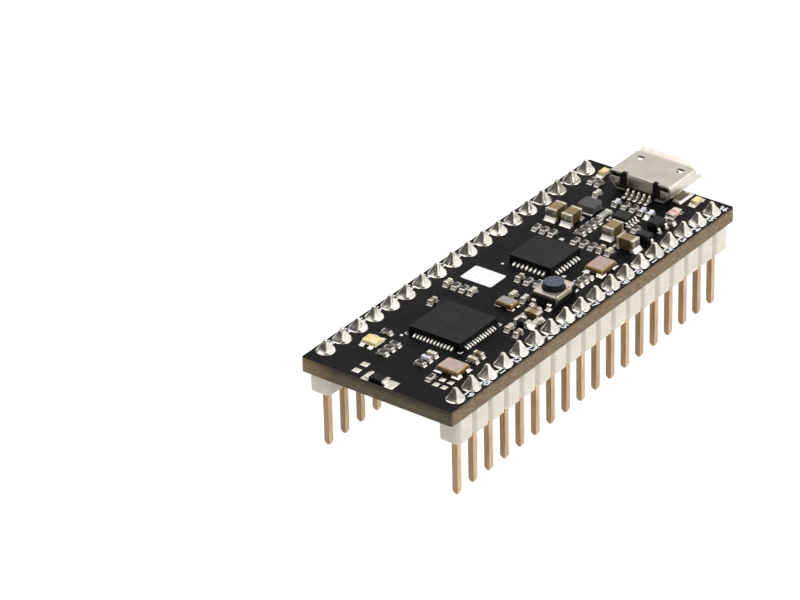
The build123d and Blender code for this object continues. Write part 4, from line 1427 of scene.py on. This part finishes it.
def gull_leads(node, name, width, thick, rise):
    """Leads that leave the body at a rise above the mask and bend down to their lands."""
    build = Build()
    hosts = islands("regulator_body") + islands("transistor_bodies")
    z = MASK_TOP + rise - PAD_TOP
    for lead in islands(node):
        host = min(hosts, key=lambda box: (box.mid[0] - lead.mid[0]) ** 2
                   + (box.mid[1] - lead.mid[1]) ** 2)
        sign = 1 if lead.mid[1] > host.mid[1] else -1
        edge = host.high[1] if sign > 0 else host.low[1]
        far = abs((lead.high[1] if sign > 0 else lead.low[1]) - edge)
        # (outwards, height above the land)
        path = [(-0.12, z), (0.02, z), (0.09, z - 0.02), (0.14, z - 0.09), (0.17, thick * 1.6),
                (0.21, thick * 0.8), (0.27, thick * 0.55), (far, thick * 0.55)]
        build.retone()
        build.ribbon(path, width, thick, (lead.mid[0], edge, PAD_TOP), 90 * sign)
        fillet((lead.mid[0], edge + sign * 0.3), LEAD_SOLDER, inward=(0, -sign * 0.02),
               radius=0.08)
    build.finish(name, ["tin"], node, "tin")


gull_leads("regulator_leads", "regulator_pins", width=0.24, thick=0.10, rise=0.35)
gull_leads("transistor_leads", "transistor_pins", width=0.36, thick=0.12, rise=0.40)

# ---------------------------------------------------------------------------
# crystals
# ---------------------------------------------------------------------------
CRYSTAL_SOLDER = ((0, 0.02), (0.3, 0.045), (0.55, 0.09), (0.8, 0.17), (1.0, 0.24))

tubs = Build()
for tub in islands("crystal_bases"):
    tubs.retone()
    tubs.box(tub.mid, tub.size, 0.06)
    x, y, z = tub.mid
    half_x, half_y = tub.size[0] / 2, tub.size[1] / 2
    for side_x in SIDES:
        for side_y in SIDES:
            corner = (x + side_x * (half_x - 0.20), y + side_y * (half_y - 0.22))
            if fillet(corner, CRYSTAL_SOLDER, inward=(-side_x * 0.16, -side_y * 0.16),
                      shrink=(0.16, 0.16), radius=0.10):
                # plated corner groove
                tubs.box((x + side_x * (half_x - 0.05), y + side_y * (half_y - 0.05), z),
                         (0.16, 0.16, tub.size[2] * 0.96), 0.05, mat=1)
tubs.finish("crystal_tubs", ["crystal_base", "crystal_gold"], "crystal_bases", "crystal_base")

rims = Build()
for rim in islands("crystal_seal_rings"):
    rims.retone()
    rims.box(rim.mid + np.array([0, 0, -0.07]), rim.size + np.array([0.03, 0.03, 0.22]), 0.04)
rims.finish("crystal_rims", ["crystal_gold"], "crystal_seal_rings", "crystal_gold")

covers = Build()
lids = islands("crystal_lids")
smallest_lid = min(lid.size[0] * lid.size[1] for lid in lids)
for lid in lids:
    covers.retone()
    top = float(lid.size[2])
    edge = [(0, -0.07, 0.16), (top - 0.035, -0.07, 0.16), (top - 0.010, -0.055, 0.15),
            (top, -0.025, 0.12)]
    face = [(top, -0.025, 0.12), (top, 0.08, 0.08), (top - 0.006, 0.10, 0.07),
            (top - 0.004, 0.33, 0.05)]
    is_small = lid.size[0] * lid.size[1] < 1.3 * smallest_lid
    covers.loft(stacked(lid, edge, 4), 1, cap_last=False)
    covers.loft(stacked(lid, face, 4), 2 if is_small else 0, cap_first=False)
covers.finish("crystal_covers", ["crystal_lid", "crystal_gold", "lid_grey"], "crystal_lids",
              "crystal_lid", weld=True, sharp=50)

# ---------------------------------------------------------------------------
# coil
# ---------------------------------------------------------------------------
coil = node_box("inductor_body")
coil_top = float(coil.size[2])
# (z, inset): base with a groove above it, then a rim rounded into the top
base_profile = [(0.0, 0.06), (0.04, 0.0), (0.30, 0.0), (0.34, 0.10), (0.46, 0.10), (0.50, 0.0)]
rim_profile = [(0.50, 0.0), (0.72, 0.0), (0.775, 0.04), (coil_top, 0.11)]
top_profile = [(coil_top, 0.11, 0.38), (coil_top + 0.002, 0.20, 0.30), (coil_top, 0.5, 0.2)]
build = Build()
build.loft(stacked(coil, base_profile, 6, 0.38), cap_last=False)
build.loft(stacked(coil, rim_profile, 6, 0.38), 1, cap_first=False, cap_last=False)
build.loft(stacked(coil, top_profile, 6), cap_first=False)
build.finish("coil_body", ["ferrite_grey", "ferrite_rim"], "inductor_body", "ferrite_grey",
             weld=True, sharp=50)

build = Build()
for terminal in islands("inductor_terminals"):
    build.box(terminal.mid, terminal.size, 0.03)
    sign = 1 if terminal.mid[0] > coil.mid[0] else -1
    fillet(terminal.mid, ((0, 0.02), (0.4, 0.06), (0.75, 0.13), (1, 0.2)),
           inward=(-sign * 0.08, 0), shrink=(0.16, 0.15), retone=False)
build.finish("coil_terminals", ["tin"], "inductor_terminals", "tin")

# ---------------------------------------------------------------------------
# lamps
# ---------------------------------------------------------------------------
lens = node_box("rgb_led_lens")
build = Build()
build.loft(stacked(lens, [(0.0, 0.0), (0.03, 0.0), (0.20, 0.03), (0.25, 0.07),
                          (float(lens.size[2]), 0.15)], 4, 0.12))
build.finish("colour_lamp_lens", ["led_cream"], "rgb_led_lens", "led_cream")

base = node_box("rgb_led_base")
build = Build()
build.box(base.mid, base.size, 0.03)
for side_x in SIDES:
    for side_y in SIDES:
        x, y = base.mid[0], base.mid[1] + side_y * 0.50
        build.box((x + side_x * (base.size[0] / 2 - 0.10), y, base.mid[2]),
                  (0.26, 0.46, base.size[2] + 0.02), 0.03, mat=1)
        fillet((x + side_x * 0.95, y), ((0, 0.02), (0.35, 0.05), (0.7, 0.10), (1, 0.15)),
               inward=(-side_x * 0.16, 0), shrink=(0.26, 0.08), retone=False)
build.finish("colour_lamp_base", ["led_base", "tin"], "rgb_led_base", "led_base")

build = Build()
for lens in islands("status_led_lenses"):
    build.loft(stacked(lens, [(0.0, 0.0), (0.22, 0.02), (0.27, 0.04),
                              (float(lens.size[2]), 0.075)], 4, 0.08))
build.finish("status_lamp_lenses", ["led_cream"], "status_led_lenses", "led_cream")

build = Build()
for base in islands("status_led_bases"):
    build.box(base.mid, base.size, 0.03)
    for side in SIDES:
        x = base.mid[0] + side * (base.size[0] / 2 - 0.09)
        end = Box(np.array([x - 0.11, base.low[1] + 0.02, base.low[2]]),
                  np.array([x + 0.11, base.high[1] - 0.02, base.high[2] + 0.03]))
        build.box(end.mid, end.size, 0.03, mat=1)
        foot(end, 0.9)
build.finish("status_lamp_bases", ["led_base", "tin"], "status_led_bases", "led_base")

# ---------------------------------------------------------------------------
# press switch
# ---------------------------------------------------------------------------
base = node_box("switch_base")
plunger = node_box("switch_plunger")
dome_box = node_box("switch_dome")
button_x, button_y = float(plunger.mid[0]), float(plunger.mid[1])
seat = float(dome_box.low[2])
half_width = float(base.size[1]) / 2

outline = rounded_rect(base.mid[0], base.mid[1], base.size[0], base.size[1], 0.18, 5)
build = Build()
build.region(outline, [], [], float(base.low[2]), seat - 0.01)
build.region(outline, [(button_x, button_y, 1.35)], [], seat - 0.01, float(base.high[2]),
             segments=48)
build.finish("switch_housing", ["mould_deep"], "switch_base", "mould_black", sharp=40)

cover_top = float(node_box("switch_cover").high[2])
build = Build()
build.region(rounded_rect(button_x, button_y, 3.50, 2.55, 0.22, 5),
             [(button_x, button_y, 1.19)], [], cover_top - 0.20, cover_top, segments=64)
build.finish("switch_cover_plate", ["switch_steel"], "switch_cover", "switch_steel",
             bevel=0.035, weighted=True)

# (outwards, height from the cover's top)
CLIP_PATH = [(-0.20, -0.10), (-0.02, -0.08), (0.07, -0.14), (0.11, -0.26), (0.11, -0.55),
             (0.09, -0.80), (0.02, -0.92)]
build = Build()
for side in SIDES:
    # folded skirt along each long side, and a clip
    x = button_x + side * 0.30
    build.box((x, button_y + side * (half_width + 0.035), cover_top - 0.27),
              (2.50, 0.16, 0.54), 0.07, 3, mat=2)
    build.box((x, button_y + side * (half_width - 0.06), cover_top - 0.045),
              (2.50, 0.30, 0.09), 0.04, 3, mat=2)
    build.ribbon(CLIP_PATH, 0.50, 0.09, (button_x + side * 1.55,
                 button_y + side * (half_width - 0.02), cover_top), 90 * side, mat=1)
build.finish("switch_cover_clips", ["switch_steel", "steel_dark", "switch_skirt"],
             slot="switch_steel")

# the button: a wide collar below, a slightly dished crown on top; rows are (radius, z)
foot_z, crown_z = float(plunger.low[2]), float(plunger.high[2])
collar_z = foot_z + 0.17
profile = [(1.10, foot_z), (1.19, foot_z + 0.02), (1.20, foot_z + 0.05), (1.20, collar_z - 0.03),
           (1.17, collar_z), (1.06, collar_z + 0.004), (1.05, collar_z + 0.03),
           (1.045, crown_z - 0.10), (1.03, crown_z - 0.05), (1.0, crown_z - 0.02),
           (0.95, crown_z - 0.003), (0.90, crown_z), (0.7, crown_z - 0.012),
           (0.4, crown_z - 0.018), (0.15, crown_z - 0.020)]
build = Build()
build.loft(turned(button_x, button_y, profile, 72))
build.finish("switch_button", ["plunger"], "switch_plunger", "plunger", body="button", sharp=50)

# snap dome under the button: a thin round cap, built at rest; the real one flattens as the button
# goes down
# rows are (radius, z above the seat): up the underside's rim, then back over the top
dome_radius, dome_height = float(dome_box.size[0]) / 2, float(dome_box.high[2]) - seat
profile = [(0.05, dome_height - 0.050), (0.28, dome_height - 0.055), (0.55, dome_height - 0.105),
           (0.83, dome_height - 0.180), (dome_radius - 0.16, 0.030), (dome_radius - 0.12, 0.0),
           (dome_radius, 0.0), (dome_radius, 0.035), (dome_radius - 0.02, 0.055),
           (0.86, dome_height - 0.130), (0.58, dome_height - 0.055), (0.30, dome_height - 0.006),
           (0.05, dome_height)]
build = Build()
build.loft(turned(button_x, button_y, [(radius, seat + z) for radius, z in profile], 64))
dome = build.finish("switch_snap_dome", ["switch_steel"], "switch_dome", "switch_steel", sharp=60)
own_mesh(dome)

# (outwards, height above the land)
SWITCH_PIN_PATH = [(-0.06, 0.46), (0.06, 0.47), (0.16, 0.45), (0.24, 0.38), (0.28, 0.28),
                   (0.30, 0.18), (0.34, 0.11), (0.42, 0.075), (0.58, 0.07)]
build = Build()
for terminal in islands("switch_terminals"):
    sign = 1 if terminal.mid[0] > base.mid[0] else -1
    edge, y = base.high[0] if sign > 0 else base.low[0], terminal.mid[1]
    build.retone()
    build.ribbon(SWITCH_PIN_PATH, 0.46, 0.11, (edge, y, PAD_TOP), 0 if sign > 0 else 180)
    fillet((edge + sign * 0.35, y), ((0, 0.025), (0.3, 0.06), (0.65, 0.10), (1, 0.15)),
           inward=(-sign * 0.05, 0), shrink=(0.34, 0.18))
build.finish("switch_pins", ["tin"], "switch_terminals", "tin")

# ---------------------------------------------------------------------------
# USB socket: a folded steel shell; x runs from its back to its mouth, z from the mask
# ---------------------------------------------------------------------------
shell_box = node_box("usb_shell")
back_x, shell_y = float(shell_box.low[0]), float(shell_box.mid[1])
WALL = 0.25
BEND = 0.35                        # outer radius of the folds
FLOOR_Z, ROOF_Z = 0.10, 2.2
SIDE_Y = 3.7                       # half width
CHAMFER_Y, CHAMFER_Z = 2.85, 0.95  # where the slanted lower side would meet floor and wall
BACK_X = 0.42                      # depth of the flap folded down at the back
FLAP_HALF = 1.55
NOTCH_X, NOTCH_HALF = 1.20, 1.80   # cut in the floor at the back
WINDOW_X, WINDOW_Y = (3.19, 3.99), (2.0, 2.8)
SLOT_OUTER = 2.2                   # outer edge of the cuts beside the flap
FLARE_X, LIP_X, SIDE_LIP_X, MOUTH_X = 4.55, 4.70, 5.25, 5.33
ROOF_LIP, FLOOR_LIP = 3.22, 2.30   # half widths of the lips beyond LIP_X
WALL_LIP = 1.55                    # top of the side lips
SHELL_XS = [BACK_X * i / 4 for i in range(5)] + [
    NOTCH_X, 2.2, *WINDOW_X, FLARE_X, LIP_X, 4.82, 4.95, 5.10, SIDE_LIP_X, MOUTH_X]
DIAGONAL = math.sqrt(0.5)
# back flap, level with the first five xs: (x, z, normal x, normal z)
FLAP_BEND = 0.34
FLAP = [(0, 0.80, -1, 0), (0, 1.40, -1, 0), (0, 1.86, -1, 0),
        (FLAP_BEND * (1 - DIAGONAL), 1.86 + FLAP_BEND * DIAGONAL, -DIAGONAL, DIAGONAL),
        (BACK_X, ROOF_Z, 0, 1)]


def shell_half():
    """Stations (y, z, normal y, normal z) from the floor's middle to the roof's middle, +y side."""
    stations = []

    def line(start, end, normal, marks=()):
        start, end = np.array(start, float), np.array(end, float)
        for t in [0.0, *marks, 1.0]:
            stations.append((*(start + (end - start) * t), *normal))

    def arc(y, z, start, end, steps=5):
        for i in range(1, steps):
            a = math.radians(start + (end - start) * i / steps)
            c, s = math.cos(a), math.sin(a)
            stations.append((y + BEND * c, z + BEND * s, c, s))

    tangent = BEND * math.tan(math.radians(22.5))
    slant = tangent * DIAGONAL
    floor_end, wall_start = CHAMFER_Y - tangent, CHAMFER_Z + tangent
    wall_end, roof_start = ROOF_Z - BEND, SIDE_Y - BEND
    line((0, FLOOR_Z), (floor_end, FLOOR_Z), (0, -1),
         [NOTCH_HALF / floor_end, FLOOR_LIP / floor_end])
    arc(floor_end, FLOOR_Z + BEND, -90, -45)
    line((CHAMFER_Y + slant, FLOOR_Z + slant), (SIDE_Y - slant, CHAMFER_Z - slant),
         (DIAGONAL, -DIAGONAL))
    arc(roof_start, wall_start, -45, 0)
    line((SIDE_Y, wall_start), (SIDE_Y, wall_end), (1, 0),
         [(WALL_LIP - wall_start) / (wall_end - wall_start)])
    arc(roof_start, wall_end, 0, 90, 6)
    marks = (ROOF_LIP, WINDOW_Y[1], SLOT_OUTER, WINDOW_Y[0], FLAP_HALF)
    line((roof_start, ROOF_Z), (0, ROOF_Z), (0, 1), [(roof_start - y) / roof_start for y in marks])
    return stations


half = shell_half()
stations = half + [(-y, z, -ny, nz) for y, z, ny, nz in reversed(half[1:-1])]


def faces_of(ny, nz):
    """Whether a normal belongs to the roof, the floor or a side wall."""
    return nz > 0.99, nz < -0.99, abs(ny) > 0.99


shell_index, shell_verts = {}, []


def shell_vertex(i, j, inner):
    """Index of the vertex at station i and column j, on the outer or inner skin."""
    if (i, j, inner) in shell_index:
        return shell_index[i, j, inner]
    y, z, ny, nz = stations[i]
    x = SHELL_XS[j]
    roof, floor, wall = faces_of(ny, nz)
    if j < len(FLAP) and roof and abs(y) <= FLAP_HALF + 0.01:
        flap_x, flap_z, nx, nz = FLAP[j]
        normal = np.array([nx, 0, nz], float)
        point = np.array([back_x + flap_x, shell_y + y, MASK_TOP + flap_z])
    else:
        spread = 0.34 if roof else 0.30 if floor else 0.27 if wall else 0.0
        t = max(0.0, (x - FLARE_X) / (MOUTH_X - FLARE_X))
        normal = np.array([0, ny, nz], float)
        point = np.array([back_x + x, shell_y + y, MASK_TOP + z])
        point = point + normal * spread * min(1.0, t) ** 1.7
    if inner:
        point = point - normal * WALL * (0.75 if x > LIP_X else 1.0)
    shell_index[i, j, inner] = len(shell_verts)
    shell_verts.append(point)
    return shell_index[i, j, inner]


def is_steel(x, y, z, roof, floor, wall):
    """False where the shell is cut away; y is the distance from the middle."""
    if roof and WINDOW_Y[0] < y < WINDOW_Y[1] and WINDOW_X[0] < x < WINDOW_X[1]:
        return False
    if roof and FLAP_HALF < y < SLOT_OUTER and x < BACK_X:
        return False
    if floor and y < NOTCH_HALF and x < NOTCH_X:
        return False
    if x > LIP_X:
        return bool((roof and y < ROOF_LIP) or (floor and y < FLOOR_LIP)
                    or (wall and z < WALL_LIP + 0.01 and x <= SIDE_LIP_X))
    # a slit along each fold between slant and wall
    bend = not (roof or floor or wall)
    return not (bend and 0.82 < z < 1.10 and NOTCH_X < x < WINDOW_X[0])


faces, edges = [], {}
for i in range(len(stations)):
    i2 = (i + 1) % len(stations)
    y, z, ny, nz = (np.array(stations[i]) + np.array(stations[i2])) / 2
    for j in range(len(SHELL_XS) - 1):
        if not is_steel((SHELL_XS[j] + SHELL_XS[j + 1]) / 2, abs(y), z, *faces_of(ny, nz)):
            continue
        quad = [(i, j), (i2, j), (i2, j + 1), (i, j + 1)]
        faces.append([shell_vertex(*corner, 0) for corner in quad])
        faces.append([shell_vertex(*corner, 1) for corner in reversed(quad)])
        edges.update({(quad[e], quad[(e + 1) % 4]): True for e in range(4)})
for p, q in edges:
    if (q, p) not in edges:
        faces.append([shell_vertex(*q, 0), shell_vertex(*p, 0),
                      shell_vertex(*p, 1), shell_vertex(*q, 1)])
build = Build()
build.add(shell_verts, faces)
build.finish("usb_shell_folded", ["shell_steel"], "usb_shell", "shell_steel", bevel=0.035,
             bevel_angle=55, weighted=True, sharp=45)

# (outwards, z above the mask)
TAB_PATH = [(-0.55, 0.30), (-0.30, 0.20), (-0.05, 0.135), (0.20, 0.12), (0.50, 0.12)]
build = Build()
for side in SIDES:
    # wing that closes the back corner, and the side tab soldered to the board, in steel painted
    # darker as shade
    build.box((back_x + 0.13, shell_y + side * 2.97, MASK_TOP + 1.08), (0.24, 1.06, 0.84), 0.07, 3)
    build.ribbon(TAB_PATH, 1.75, 0.20, (back_x + 2.30, shell_y + side * 3.50, MASK_TOP),
                 90 * side, mat=1)
    fillet((back_x + 2.3, shell_y + side * 3.9),
           ((0, 0.03), (0.3, 0.07), (0.65, 0.12), (1, 0.19)),
           inward=(0, -side * 0.05), shrink=(0.12, 0.20), radius=0.14, retone=False)
build.finish("usb_shell_tabs", ["shell_steel", "shell_dark"], slot="shell_steel", weighted=True)

build = Build()
build.box((back_x + 1.3, shell_y, MASK_TOP + 1.22), (0.7, 6.2, 1.36), 0.04)
build.finish("usb_back_block", ["mould_deep"], slot="mould_black")

copy_node("usb_insulator", "usb_tongue_block", "mould_deep", bevel=0.03, slot="mould_black")
copy_node("usb_contacts", "usb_contact_strips", "contact_gold", bevel=0.025, slot="contact_gold")

# contact tails: each comes out under the flap, drops and lies on its land
# (x from the shell's back, z above the mask)
TAIL_PATH = [(-0.86, 0.115), (-0.56, 0.125), (-0.43, 0.17), (-0.33, 0.27), (-0.25, 0.40),
             (-0.16, 0.51), (-0.04, 0.58), (0.12, 0.60), (0.30, 0.60)]
contacts = islands("usb_contacts")
build = Build()
for contact in contacts:
    build.retone()
    build.ribbon(TAIL_PATH, 0.25, 0.11, (back_x, contact.mid[1], MASK_TOP))
build.finish("usb_contact_tails", ["contact_gold"], slot="contact_gold")
for contact in contacts:
    fillet((float(contact.low[0]) + 0.4, contact.mid[1]),
           ((0, 0.02), (0.3, 0.05), (0.65, 0.085), (1, 0.11)),
           inward=(-0.10, 0), shrink=(0.6, 0.04), radius=0.10)

solder.finish("surface_solder", ["solder_soft"], slot="solder", sharp=60)

# ---------------------------------------------------------------------------
# CAD nodes keep their shape and get a full material
# ---------------------------------------------------------------------------
NODE_MATERIALS = {
    "pcb_core": "laminate", "solder_mask_top": "mask", "solder_mask_bottom": "mask",
    "plated_holes": "plating", "switch_dome": "switch_steel", "usb_insulator": "mould_deep",
}
for name, cad_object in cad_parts.items():
    cad_object.data.materials.clear()
    cad_object.data.materials.append(MATERIALS[NODE_MATERIALS.get(name, "tin")])

# ---------------------------------------------------------------------------
# floor
# ---------------------------------------------------------------------------
FLOOR_HALF = 3.0         # metres
FLOOR_CELLS = 24
FLOOR_DROP = 0.00001     # metres below the lowest point

k = Shader("studio_floor")
grey = k.ramp(k.noise(scale=0.02, detail=3.0),
              (0.3, (0.20, 0.20, 0.20, 1)), (0.7, (0.24, 0.24, 0.24, 1)))
k.put(color=grey, rough=0.9, spec=0.1, glow_color=(1, 1, 1, 1), glow=0.96)
bm = bmesh.new()
floor_z = float(cad_lo[2]) - FLOOR_DROP
marks = [-FLOOR_HALF + 2 * FLOOR_HALF * i / FLOOR_CELLS for i in range(FLOOR_CELLS + 1)]
grid = [[bm.verts.new((x, y, floor_z)) for y in marks] for x in marks]
for i in range(FLOOR_CELLS):
    for j in range(FLOOR_CELLS):
        bm.faces.new((grid[i][j], grid[i + 1][j], grid[i + 1][j + 1], grid[i][j + 1]))
floor_mesh = bpy.data.meshes.new("studio_floor")
bm.to_mesh(floor_mesh)
bm.free()
floor_mesh.materials.append(MATERIALS["studio_floor"])
studio_floor = bpy.data.objects.new("studio_floor", floor_mesh)
scene.collection.objects.link(studio_floor)

# ---------------------------------------------------------------------------
# world: an even sky with soft-edged bright and dark circles
# ---------------------------------------------------------------------------
SKY_LEVEL = 0.62
# what it does, direction, inner and outer angle in degrees, amount
SKY = (
    ("add", (0.15, -0.25, 1.0), 20, 50, 0.9),
    ("add", (0.55, -0.80, 0.30), 20, 52, 0.45),
    ("add", (0.70, 0.50, 0.51), 14, 34, 0.20),
    ("add", (-0.25, 0.53, 0.81), 16, 36, 0.85),
    ("dim", (-0.84, 0.52, 0.14), 18, 40, 0.86),
    ("add", (-0.61, -0.77, 0.14), 5, 15, 1.3),
    ("dim", (-0.75, -0.45, 0.35), 16, 44, 0.55),
)

world = bpy.data.worlds.new("studio")
scene.world = world
sky = Tree(world)
world_output = sky.node("ShaderNodeOutputWorld")
background = sky.node("ShaderNodeBackground")
sky.feed(world_output.inputs[0], background.outputs[0])
sky_place = sky.node("ShaderNodeTexCoord").outputs["Generated"]


def lobe(direction, inner, outer):
    """1 inside a soft-edged circle of the sky, 0 outside; angles in degrees."""
    dot = sky.node("ShaderNodeVectorMath", operation="DOT_PRODUCT")
    unit = sky.node("ShaderNodeVectorMath", operation="NORMALIZE")
    sky.feed(unit.inputs[0], sky_place)
    sky.feed(dot.inputs[0], unit.outputs[0])
    dot.inputs[1].default_value = Vector(direction).normalized()
    fade = sky.node("ShaderNodeMapRange", interpolation_type="SMOOTHSTEP")
    fade.inputs["From Min"].default_value = math.cos(math.radians(outer))
    fade.inputs["From Max"].default_value = math.cos(math.radians(inner))
    sky.feed(fade.inputs["Value"], dot.outputs["Value"])
    return fade.outputs[0]


strength = SKY_LEVEL
for effect, direction, inner, outer, amount in SKY:
    share = sky.times(lobe(direction, inner, outer), amount)
    if effect == "add":
        strength = sky.math("ADD", strength, share)
    else:
        strength = sky.times(strength, sky.math("SUBTRACT", 1.0, share))
sky.feed(background.inputs["Strength"], strength)
background.inputs["Color"].default_value = (1.0, 0.985, 0.965, 1)

# ---------------------------------------------------------------------------
# key light and camera, in metres
# ---------------------------------------------------------------------------
KEY_PLACE, KEY_TARGET = (0.16, -0.26, 0.34), (0, 0, 0.004)
KEY_SIZE = 0.20

light = bpy.data.lights.new("key", "AREA")
light.shape = "RECTANGLE"
light.size = light.size_y = KEY_SIZE
light.energy = 0.85
light.color = (1.0, 0.985, 0.96)
key = bpy.data.objects.new("key", light)
key.location = KEY_PLACE
key.rotation_mode = "QUATERNION"
key.rotation_quaternion = (Vector(KEY_PLACE) - Vector(KEY_TARGET)).to_track_quat("Z", "Y")
scene.collection.objects.link(key)

# columns: the camera's right, up and backward directions, then its place
CAMERA_MATRIX = (
    (0.60040099, 0.41449538, -0.68389489, -0.292675),
    (-0.79939954, 0.28767434, -0.52745034, -0.210490),
    (-0.02188671, 0.86338697, 0.50406737, 0.212479),
    (0, 0, 0, 1),
)
camera_data = bpy.data.cameras.new("camera")
camera_data.lens = 192.63
camera_data.sensor_width = 36.0
camera_data.clip_start = 0.02
camera_data.clip_end = 20.0
camera = bpy.data.objects.new("camera", camera_data)
scene.collection.objects.link(camera)
camera.matrix_world = Matrix(CAMERA_MATRIX)
scene.camera = camera
scene.view_settings.view_transform = "Standard"
scene.view_settings.look = "None"
scene.view_settings.exposure = 0.0
